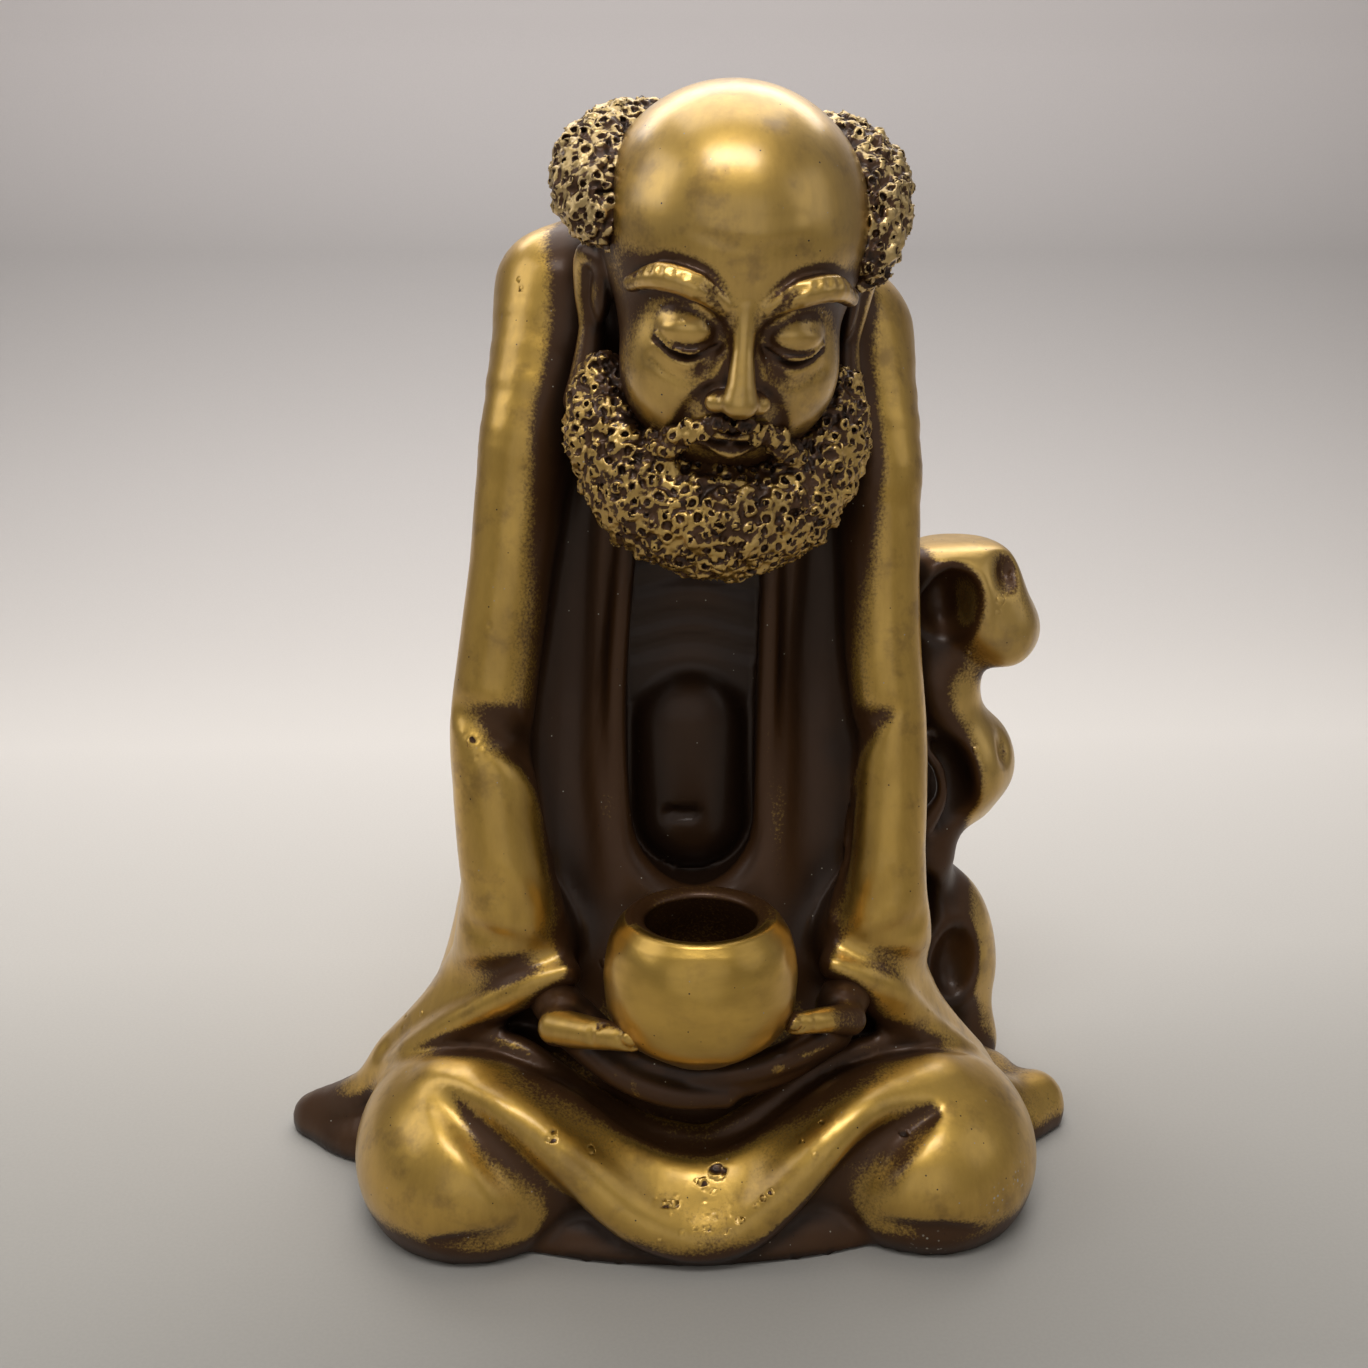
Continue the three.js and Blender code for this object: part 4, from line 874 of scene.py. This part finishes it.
def sampled(field, low, high, cell):
    """The field stored on a grid, because reading that is quicker."""
    values = on_grid(field, [np.arange(l, h + cell, cell) for l, h in zip(low, high)])
    low, top = np.array(low, float)[:, None], np.array(values.shape)[:, None] - 1.001
    return lambda x, y, z: read_grid(values, np.clip((np.stack([x, y, z]) - low) / cell, 0, top))


def shade(points, normals, around, own, fine):
    """Occlusion by everything around, and by the piece's own fine relief, from 0 in the open to 1."""
    wide = np.zeros(len(points))
    for reach, weight in ((2.5, 0.25), (5, 0.3), (9, 0.25), (14, 0.12)):
        distance = around(*(points + normals * reach).T)
        wide += weight * np.clip(1 - distance / reach, 0, 1.2)
    near = np.zeros(len(points))
    for reach in fine:
        near += np.clip(1 - own(*(points + normals * reach).T) / reach, -0.6, 1.2) / len(fine)
    return wide, near


def unit(v):
    return v / (np.linalg.norm(v, axis=1)[:, None] + TINY)


PIT_REACH = 2.2


def gap_to(points, places):
    """How far each point is from the nearest of the places."""
    return np.min([np.linalg.norm(points - place, axis=1) for place in places], 0)


def refine(obj, field, places, cell, rounds=2):
    """Splits the faces round the given places, and sets the new points on the surface."""
    shape = bmesh.new()
    shape.from_mesh(obj.data)
    for _ in range(rounds):
        shape.faces.ensure_lookup_table()
        centres = np.array([face.calc_center_median() for face in shape.faces]) / MM
        close = np.nonzero(gap_to(centres, places) < PIT_REACH)[0]
        edges = {edge for i in close for edge in shape.faces[i].edges}
        edges = sorted(edges, key=lambda edge: edge.index)
        bmesh.ops.subdivide_edges(shape, edges=edges, cuts=1, use_grid_fill=True)
        shape.edges.index_update()
    shape.to_mesh(obj.data)
    shape.free()
    points = points_of(obj)
    close = gap_to(points, places) < PIT_REACH + cell
    points[close] = settle(field, points[close], cell / 2**rounds, 4)
    place_points(obj.data, points)
    obj.data.update()


def points_of(obj):
    points = np.empty(len(obj.data.vertices) * 3, np.float32)
    obj.data.vertices.foreach_get("co", points)
    return points.reshape(-1, 3).astype(float) / MM


def sculpted(name, field, low, high, cell, node, around, fine, extra, pits=()):
    """A piece on its field, with its shade kept on its points."""
    plain = on_floor(field)
    points, faces = skin(plain, low, high, cell)
    points = np.clip(points, *BOX)
    obj = piece(name, points, faces, node)
    sunk = np.zeros(len(points))
    if pits:
        pitted, places = sunk_pits(plain, pits)
        refine(obj, pitted, places, cell)
        points = points_of(obj)
        sunk = rise(-plain(*points.T), 0.06, 0.3)
    normals = unit(slope_of(plain, points, 0.3 * cell))
    wide, near = shade(points, normals, around, plain, fine)
    keep(obj, wide=wide, near=near, dark=extra(points, normals) + 1.2 * sunk)
    return obj


def whole_figure():
    head = place_head(join(0.8, bare_head(), plain_hair(), plain_beard()))
    body = join(3, robe(), *map(hand, SIDES))
    stone = rock()
    under_floor = 1.5

    def field(*at):
        return np.minimum.reduce([body(*at), head(*at), stone(*at), bowl_mass(*at), at[2] + under_floor])

    return sampled(field, *ROOM, ROOM_CELL)


# Materials


class Nodes:
    """A material's node tree, built by calls."""

    def __init__(self, name):
        self.material = bpy.data.materials.new(name)
        self.material.use_nodes = True
        self.tree = self.material.node_tree
        self.shader = self.tree.nodes["Principled BSDF"]

    def plug(self, node, inputs):
        for key, value in inputs.items():
            if isinstance(value, bpy.types.NodeSocket):
                self.tree.links.new(value, node.inputs[key])
            else:
                node.inputs[key].default_value = value

    def add(self, kind, inputs, output=0, **settings):
        node = self.tree.nodes.new(kind)
        for key, value in settings.items():
            setattr(node, key, value)
        self.plug(node, inputs)
        return node.outputs[output]

    def attribute(self, name):
        return self.add("ShaderNodeAttribute", {}, attribute_name=name, output="Fac")

    def place(self, scale=(1, 1, 1)):
        coordinates = self.add("ShaderNodeTexCoord", {}, output="Object")
        return self.add("ShaderNodeMapping", {"Vector": coordinates, "Scale": scale})

    def noise(self, scale, detail=3, roughness=0.55, stretch=(1, 1, 1)):
        vector = self.place(stretch)
        inputs = {"Vector": vector, "Scale": scale, "Detail": detail, "Roughness": roughness}
        return self.add("ShaderNodeTexNoise", inputs, output="Fac")

    def dots(self, scale, size, share):
        """Small round dots, in this share of the cells."""
        inputs = {"Vector": self.place(), "Scale": scale}
        distance = self.add("ShaderNodeTexVoronoi", inputs, output="Distance")
        colour = self.add("ShaderNodeTexVoronoi", inputs, output="Color")
        draw = self.add("ShaderNodeSeparateColor", {"Color": colour}, output="Red")
        return self.times(self.maths("LESS_THAN", draw, share), self.fade(distance, 0.6 * size, size, 1, 0))

    def maths(self, operation, a, b):
        return self.add("ShaderNodeMath", {0: a, 1: b}, operation=operation)

    def times(self, a, b):
        return self.maths("MULTIPLY", a, b)

    def total(self, *terms):
        return reduce(lambda a, b: self.maths("ADD", a, b), terms)

    def swing(self, noise, amount):
        """The noise about its middle, times the amount."""
        return self.times(self.maths("SUBTRACT", noise, 0.5), amount)

    def fade(self, value, low, high, start=0.0, end=1.0, interpolation="SMOOTHSTEP"):
        inputs = {"Value": value, "From Min": low, "From Max": high, "To Min": start, "To Max": end}
        return self.add("ShaderNodeMapRange", inputs, interpolation_type=interpolation, clamp=True)

    def mix(self, share, a, b, blend="MIX"):
        inputs = dict(zip(MIX_INPUTS, (share, a, b)))
        return self.add("ShaderNodeMix", inputs, output=MIX_OUTPUT, data_type="RGBA", blend_type=blend)


MIX_INPUTS, MIX_OUTPUT = (0, 6, 7), 2  # the sockets of a Mix node that mixes colours

BRIGHT = (0.68, 0.415, 0.078, 1)
DULL = (0.43, 0.255, 0.04, 1)
STAIN = (0.2, 0.105, 0.025, 1)
ASHEN = (0.6, 0.47, 0.26, 1)  # the grey bloom on the curls
BROWN = (0.074, 0.031, 0.01, 1)
UMBER = (0.032, 0.015, 0.007, 1)
DUST = (0.42, 0.38, 0.3, 1)
PATINA_FROM, PATINA_TO = 0.26, 0.62  # the shades where the patina begins and where it covers all
BLOTCHES, STAINS, STREAKS, GRIT, SPECKS = 60, 150, 420, 900, 2400  # how many to a metre


def brass(name, near=0.7, bias=0.0, roughness=0.39, coat=0.5, grain=(1, 1, 0.3), bloom=0.0, stained=0.5):
    """Rubbed brass, under brown patina, and painted shade, where the shade is deep, with stains, dark dots
    and dust.
    """
    n = Nodes(name)
    blotches, specks, streaks = n.noise(BLOTCHES, 3), n.noise(SPECKS, 2), n.noise(STREAKS, 4, 0.6, grain)
    shades = (n.attribute("wide"), n.attribute("dark"), n.times(n.attribute("near"), near))
    depth = n.total(*shades, bias, n.swing(blotches, 0.3))
    # the share of brown: patina, and painted shade where the dark measure holds it
    patina_and_painted_shade = n.fade(n.total(depth, n.swing(specks, 0.5)), PATINA_FROM, PATINA_TO)
    worn = n.total(n.times(streaks, 0.4), n.times(blotches, 0.6))
    stains = n.fade(n.noise(STAINS, 4, 0.65), 0.5, 0.72, 0, stained)
    metal = n.mix(stains, n.mix(n.fade(worn, 0.3, 0.8), BRIGHT, DULL), STAIN)
    metal = n.mix(bloom, metal, ASHEN)
    brown = n.mix(n.fade(depth, PATINA_TO + 0.2, PATINA_TO + 0.9), BROWN, UMBER)
    dotted = n.mix(n.dots(620, 0.1, 0.26), n.mix(patina_and_painted_shade, metal, brown), UMBER)
    crumbs = n.times(n.dots(1300, 0.3, 0.55), n.attribute("pale"))
    dust = n.maths("MAXIMUM", n.dots(640, 0.085, 0.12), crumbs)
    gloss = n.fade(worn, 0.3, 0.7, roughness - 0.05, roughness + 0.08)
    height = n.total(n.times(n.noise(GRIT, 3), 0.6), n.times(streaks, 0.5))
    looks = {
        "Base Color": n.mix(dust, dotted, DUST),
        "Metallic": n.times(n.fade(patina_and_painted_shade, 0, 1, 1, 0.45), n.maths("SUBTRACT", 1, dust)),
        "Roughness": n.total(gloss, n.times(patina_and_painted_shade, 0.04)),
        "Normal": n.add("ShaderNodeBump", {"Strength": 0.2, "Distance": 0.0002, "Height": height}, "Normal"),
        "Coat Weight": n.fade(patina_and_painted_shade, 0, 1, coat, 0.13),
        "Coat Roughness": 0.24,
        "Coat IOR": 1.8,
        "Specular IOR Level": 0.3,
    }
    n.plug(n.shader, looks)
    return n.material


# The pieces

# How far out the chest's patina reaches on either side, as height and distance from the middle
DARK_TO_LEFT = [
    (40, 20), (48, 21.2), (56, 23.2), (66, 25), (72, 26.8), (78, 28), (90, 27), (110, 26), (140, 23),
]
DARK_TO_RIGHT = [
    (40, 20.6), (46, 22.2), (50, 23.8), (58, 25.2), (64, 25.8), (70, 26.2), (77, 27.4), (86, 26),
    (110, 25.4), (140, 23),
]
# The elbow creases, along which patina and painted shade are laid
ELBOW_PATINA_AND_SHADE = [
    [(-38.4, -10.4, 81, 1.4), (-33.7, -12.9, 80, 2.4), (-30, -12.7, 77.7, 3.2), (-26.8, -10.4, 74.5, 3)],
    [(29.4, -12.3, 79.6, 1.2), (25.8, -10.3, 76.5, 2.6), (24, -2.5, 71.1, 3)],
]


def chest_dark(points, normals):
    """The robe's front between the arms, its inner sleeves and the lap keep their patina; painted shade
    darkens it near the floor.
    """
    x, y, z = points.T
    lean = LEAN_LOW + (LEAN_HIGH - LEAN_LOW) * rise(z, LEAN_FROM, LEAN_TO)
    off_middle = np.abs(x - lean)
    edge = np.where(x < 0, through(DARK_TO_LEFT)(z), through(DARK_TO_RIGHT)(z))
    soft = 1.5 + 5 * rise(z, 70, 82)
    inside = rise(edge + soft - off_middle, 0, 2 * soft) * rise(z, 34, 44)
    inside = inside * rise(-y, -16, -8)
    # painted shade, with some patina at the base: the robe darkens towards the floor, patched at random
    floor = rise(-z, -14, 0) * (0.25 + 1.2 * rough(x / 5, y / 5, z / 3))
    # patina, and painted shade, along the elbow creases
    elbow_patina_and_shade = sum(stroke(line, 0.7)(x, y, z) for line in ELBOW_PATINA_AND_SHADE)
    wing = rise(-3 - x, 50, 60) * rise(-z, -24, -12)
    middle = rise(11.5 - off_middle, 0, 2) * rise(z, 50, 60) * rise(y, -4, -1) * (y < 10)
    return 0.7 * inside + 0.38 * floor + 0.5 * wing + 0.45 * middle + elbow_patina_and_shade + clefts_dark(x, y, z)


SWAG_EDGE = [
    (-40.5, 26.4), (-28.6, 17.5), (-18.9, 8.2), (-11.2, 3.6), (-2.4, 2), (6.4, 4.3), (12, 9.5), (16.6, 14),
    (22.2, 18), (31.5, 20.8),
]


def clefts_dark(x, y, z):
    """The clefts under the swag of cloth, which widen between the knees towards the floor."""
    below = through(SWAG_EDGE)(x) - z
    reach = through([(16, 14), (24, 8), (30, 4.5), (38, 1.5)])(np.abs(x))
    ends = rise(x, -41, -37) * rise(-x, -34, -29)
    front = rise(-y, 20, 26)
    fading = 1 - rise(below, 0.5 * reach, 2.1 * reach)
    return 0.58 * rise(below, -0.8, 0.8) * fading * ends * front


def rock_dark(points, normals):
    """The rock is darker left of a line down its height, except where its top faces up."""
    x, _, z = points.T
    edge = through([(0, 50), (20, 52), (40, 50), (52, 48.5), (62, 51), (72, 47), (84, 45), (100, 44)])(z)
    left = rise(edge - x, -3.5, 3.5) * (1 - rise(normals[:, 2], 0.4, 0.8) * (z > 92))
    return 0.75 * left


def temples_dark(points, normals):
    """The sides of the face keep their patina down to the beard."""
    x, y, z = (TO_HEAD[:3, :3] @ points.T) + TO_HEAD[:3, 3:]
    return 0.42 * rise(np.abs(x), 12, 15.5) * rise(-z, -6, 0) * rise(-y, -8, 2)


PALE_PLACES = [(48.3, -32.9, 10.9), (43.8, -37, 9.7), (33.7, -38.1, 3.1)]  # dried polish on the right knee


def fingers_dark(points, normals):
    """The fingers under the bowl and the wrists inside the cuffs are darker, patched lighter at random."""
    x, y, z = points.T
    under, behind, in_cuff = rise(-z, -33, -31), rise(y, -26.5, -23), 0.8 * rise(x, 16, 21)
    hidden = np.maximum.reduce([under, behind, in_cuff])
    return 0.7 * hidden - 0.35 * rise(rough(x / 2.2, y / 2.2, z / 2.2), 0.5, 0.8)


def turned_faces(turns, count, low_pole, high_pole):
    """Triangles between the turned copies of a line of so many points, closed at both ends."""
    first = np.arange(turns) * count
    after = np.roll(first, -1)
    a, b = [(start[:, None] + np.arange(count - 1)).ravel() for start in (first, after)]
    low = np.stack([np.full(turns, low_pole), after, first], 1)
    high = np.stack([np.full(turns, high_pole), first + count - 1, after + count - 1], 1)
    return np.vstack([np.stack([a, b, b + 1], 1), np.stack([a, b + 1, a + 1], 1), low, high])


def carved_bowl():
    """The bowl is turned: a round wall, a broad lip that slopes inwards, and a sunk floor."""
    outer = [(bowl_profile(z), z) for z in np.linspace(0, BOWL_HEIGHT - 1.5, 44)]
    lip = [(11.75, 21.5), (11.5, 21.9), (11.2, 22.2), (10.8, 22.4), (10.3, 22.45), (9.5, 22.2), (8.8, 21.85),
           (8.45, 21.3)]
    floor = BOWL_WALL + 1
    inner_radius = through([(floor, 5.5), (8.1, 10.8), (13.5, 11.8), (BOWL_HEIGHT - 1, 8.4)])
    inner = [(inner_radius(z), z) for z in np.linspace(BOWL_HEIGHT - 1.4, floor, 40)]
    radius, height = np.array([*outer, *lip, *inner]).T
    turns, count = 176, len(radius)
    angle = (np.arange(turns) / turns * 2 * np.pi)[:, None]
    wobble = 1 + 0.006 * np.sin(2 * angle + 1.1) + 0.003 * np.sin(5 * angle)
    x = BOWL_CENTRE[0] + np.cos(angle) * radius * wobble
    y = BOWL_CENTRE[1] + np.sin(angle) * radius * wobble
    z = BOWL_FLOOR + np.broadcast_to(height, x.shape)
    points = np.stack([x, y, z], 2).reshape(-1, 3)
    beaten = 0.35 * (rough(*(points.T / 3.4)) - 0.5)
    below_lip = rise(BOWL_FLOOR + 22.4 - points[:, 2], 0, 3)
    points[:, :2] += unit(points[:, :2] - BOWL_CENTRE) * (beaten * below_lip)[:, None]
    right, back, up = points.T - np.array([[*BOWL_CENTRE, BOWL_FLOOR]]).T
    lip_inside = len(outer) + 5
    inside = np.tile(np.arange(count) >= lip_inside, turns)
    # painted shade on the top of the lip's far half
    far_lip_painted_shade = 0.6 * rise(up, 21.6, 22.3) * rise(back, -7.5, -1)
    # darker on the lowest ring of the wall, and painted shade down the bowl's left side
    low_dark_and_left_painted_shade = np.tile(height < 3.4, turns) * 0.35 + 0.16 * rise(-right, 5, 12)
    pole_dark = (0.8, 0.9)
    dark = np.array([*(np.maximum(0.62 * inside, far_lip_painted_shade) + low_dark_and_left_painted_shade), *pole_dark])
    faces = turned_faces(turns, count, len(points), len(points) + 1)
    points = np.vstack([points, (*BOWL_CENTRE, BOWL_FLOOR), (*BOWL_CENTRE, BOWL_FLOOR + floor)])
    obj = piece("burner_bowl", points, faces, "incense_bowl")
    keep(obj, wide=np.zeros(len(points)), near=np.zeros(len(points)), dark=dark)
    return obj


around = whole_figure()
metals = {
    "robe": brass("robe_brass"),
    "head": brass("head_brass", near=1.05, coat=0.85, roughness=0.37, stained=0.55),
    "hair": brass("hair_brass", near=0.45, bias=0.08, bloom=0.5, stained=0.3),
    "beard": brass("beard_brass", near=0.45, bias=0.08, bloom=0.15, stained=0.3),
    "rock": brass("rock_brass", bloom=0.15),
    "bowl": brass("bowl_brass", coat=0.35, roughness=0.33, grain=(0.35, 0.35, 1), stained=0.25),
}
# Name, shape, the corners of the box to search, cell, node, metal, how far off the near shade is felt,
# where it is dark beyond its shade, and pits
pieces = [
    ("robe", robe(), (-74, -46, -3), (72, 44, 164), ROBE_CELL, "figure", "robe",
     (1.2, 2.6), chest_dark, ROBE_PITS + pinholes()),
    ("hands", join(1.4, *map(finished_hand, SIDES)), (-32, -40, 18), (32, -4, 46), HAND_CELL, "figure",
     "robe", (0.8, 1.8), fingers_dark),
    ("head", place_head(bare_head()), (-24, -48, 110), (34, 22, 178), HEAD_CELL, "figure", "head",
     (0.7, 1.6), temples_dark),
    ("hair", place_head(curly(lumpy_hair(), *HAIR_CURLS)), (-32, -34, 130), (44, 34, 178), CURL_CELL,
     "figure", "hair", (0.5, 1.1), rubbed_tips(lumpy_hair())),
    ("beard", place_head(curly(lumpy_beard(), *BEARD_CURLS)), (-26, -50, 94), (38, 8, 150), CURL_CELL,
     "figure", "beard", (0.5, 1.1), rubbed_tips(lumpy_beard())),
    ("pierced_rock", rock(), (24, 4, -3), (68, 46, 108), ROCK_CELL, "scholar_rock", "rock",
     (1.0, 2.4), rock_dark, ROCK_PITS),
]
for name, field, low, high, cell, node, metal, *finish in pieces:
    obj = sculpted(name, field, low, high, cell, node, around, *finish)
    obj.data.materials.append(metals[metal])
    if name == "robe":
        keep(obj, pale=rise(-gap_to(points_of(obj), PALE_PLACES), -3.4, -1))
carved_bowl().data.materials.append(metals["bowl"])


# Camera, floor and light

CAMERA_PLACE = (-12.508, -238.672, 147.4)
CAMERA_AIM = (-2, 0)  # where its level line of sight crosses the x axis
CAMERA_PITCH = 15.5
FOCAL_PIXELS, PICTURE_PIXELS, SENSOR = 1540, 1368, 36

place = Vector(CAMERA_PLACE)
level = Vector((CAMERA_AIM[0] - place.x, CAMERA_AIM[1] - place.y, 0)).normalized()
pitch = math.radians(CAMERA_PITCH)
forward = Vector((level.x * math.cos(pitch), level.y * math.cos(pitch), -math.sin(pitch)))
camera = bpy.data.objects.new("camera", bpy.data.cameras.new("camera"))
camera.data.sensor_width = SENSOR
camera.data.lens = SENSOR * FOCAL_PIXELS / PICTURE_PIXELS
camera.data.clip_start = 0.01
camera.location = place * MM
camera.rotation_euler = forward.to_track_quat("-Z", "Y").to_euler()
bpy.context.scene.collection.objects.link(camera)
bpy.context.scene.camera = camera


# How pale the sheet is along its length, as painted light and shade: metres from the burner, level and then
# up, and the tone there
PAPER_FROM_TO = (-0.25, 1.0)
FIBRES = 1800  # how many to a metre
PAPER_PAINTED_LIGHT = [
    (-0.25, 0.5), (-0.11, 0.46), (-0.06, 0.38), (-0.02, 0.435), (0.01, 0.49), (0.073, 0.63), (0.226, 0.775),
    (0.53, 0.555), (0.715, 0.39), (0.833, 0.58),
]


def backdrop():
    """A pale sheet: level under the burner, then swept up behind it, with painted light and shade along it.
    """
    near, flat, radius, half, tall = 1200, 330, 260, 1500, 900
    angles = np.linspace(0.1, math.pi / 2, 24)
    bend = [(flat + radius * math.sin(a), radius * (1 - math.cos(a))) for a in angles]
    line = [(-near, 0), (flat, 0), *bend, (flat + radius, tall)]
    points = np.array([(x, y, z) for y, z in line for x in (-half, half)], float)
    rows = np.arange(len(line) - 1) * 2
    faces = np.stack([rows, rows + 1, rows + 3, rows + 2], 1)
    sheet = mesh_object("backdrop", points, faces)
    n = Nodes("backdrop_paper")
    place = n.place()
    along = n.total(*[n.add("ShaderNodeSeparateXYZ", {"Vector": place}, output=axis) for axis in "YZ"])
    start, end = PAPER_FROM_TO
    white, off_white = (1, 1, 1, 1), (0.97, 0.97, 0.97, 1)
    fibres = n.fade(n.noise(FIBRES, 2), 0.35, 0.65)
    # the painted light and shade along the sheet
    ramp = n.tree.nodes.new("ShaderNodeValToRGB")
    n.plug(ramp, {0: n.fade(along, start, end, interpolation="LINEAR")})
    for number, (at, tone) in enumerate(PAPER_PAINTED_LIGHT):
        stop = ramp.color_ramp.elements[number] if number < 2 else ramp.color_ramp.elements.new(1)
        stop.position = (at - start) / (end - start)
        stop.color = (tone, tone * (0.955 - 0.03 * stop.position), tone * (0.86 + 0.06 * stop.position), 1)
    # the paper's fibres under its painted light and shade
    paper_with_painted_light = n.mix(1, ramp.outputs[0], n.mix(fibres, off_white, white), "MULTIPLY")
    n.plug(n.shader, {"Base Color": paper_with_painted_light, "Roughness": 0.7})
    sheet.data.materials.append(n.material)


def area_light(name, place, aim, size, power):
    lamp = bpy.data.lights.new(name, "AREA")
    lamp.shape = "RECTANGLE"
    lamp.size, lamp.size_y = (s * MM for s in size)
    lamp.energy = power
    obj = bpy.data.objects.new(name, lamp)
    obj.location = Vector(place) * MM
    obj.rotation_euler = (Vector(aim) - Vector(place)).to_track_quat("-Z", "Y").to_euler()
    bpy.context.scene.collection.objects.link(obj)


backdrop()
area_light("key", (-30, -270, 590), (0, 0, 100), (330, 130), 1.05)
area_light("front", (-70, -640, 250), (0, 0, 70), (700, 400), 0.3)
area_light("fill_right", (420, -200, 330), (0, 0, 70), (300, 300), 0.12)
area_light("fill_left", (-430, -60, 400), (0, 0, 90), (300, 300), 0.4)
area_light("top", (0, 150, 640), (0, 110, 0), (500, 300), 0.85)
area_light("wash", (0, 460, 620), (0, 460, 0), (900, 260), 2.6)

world = bpy.data.worlds.new("studio")
world.use_nodes = True
world.node_tree.nodes["Background"].inputs["Color"].default_value = (1, 0.97, 0.93, 1)
world.node_tree.nodes["Background"].inputs["Strength"].default_value = 0.24
bpy.context.scene.world = world
bpy.context.scene.view_settings.view_transform = "Standard"
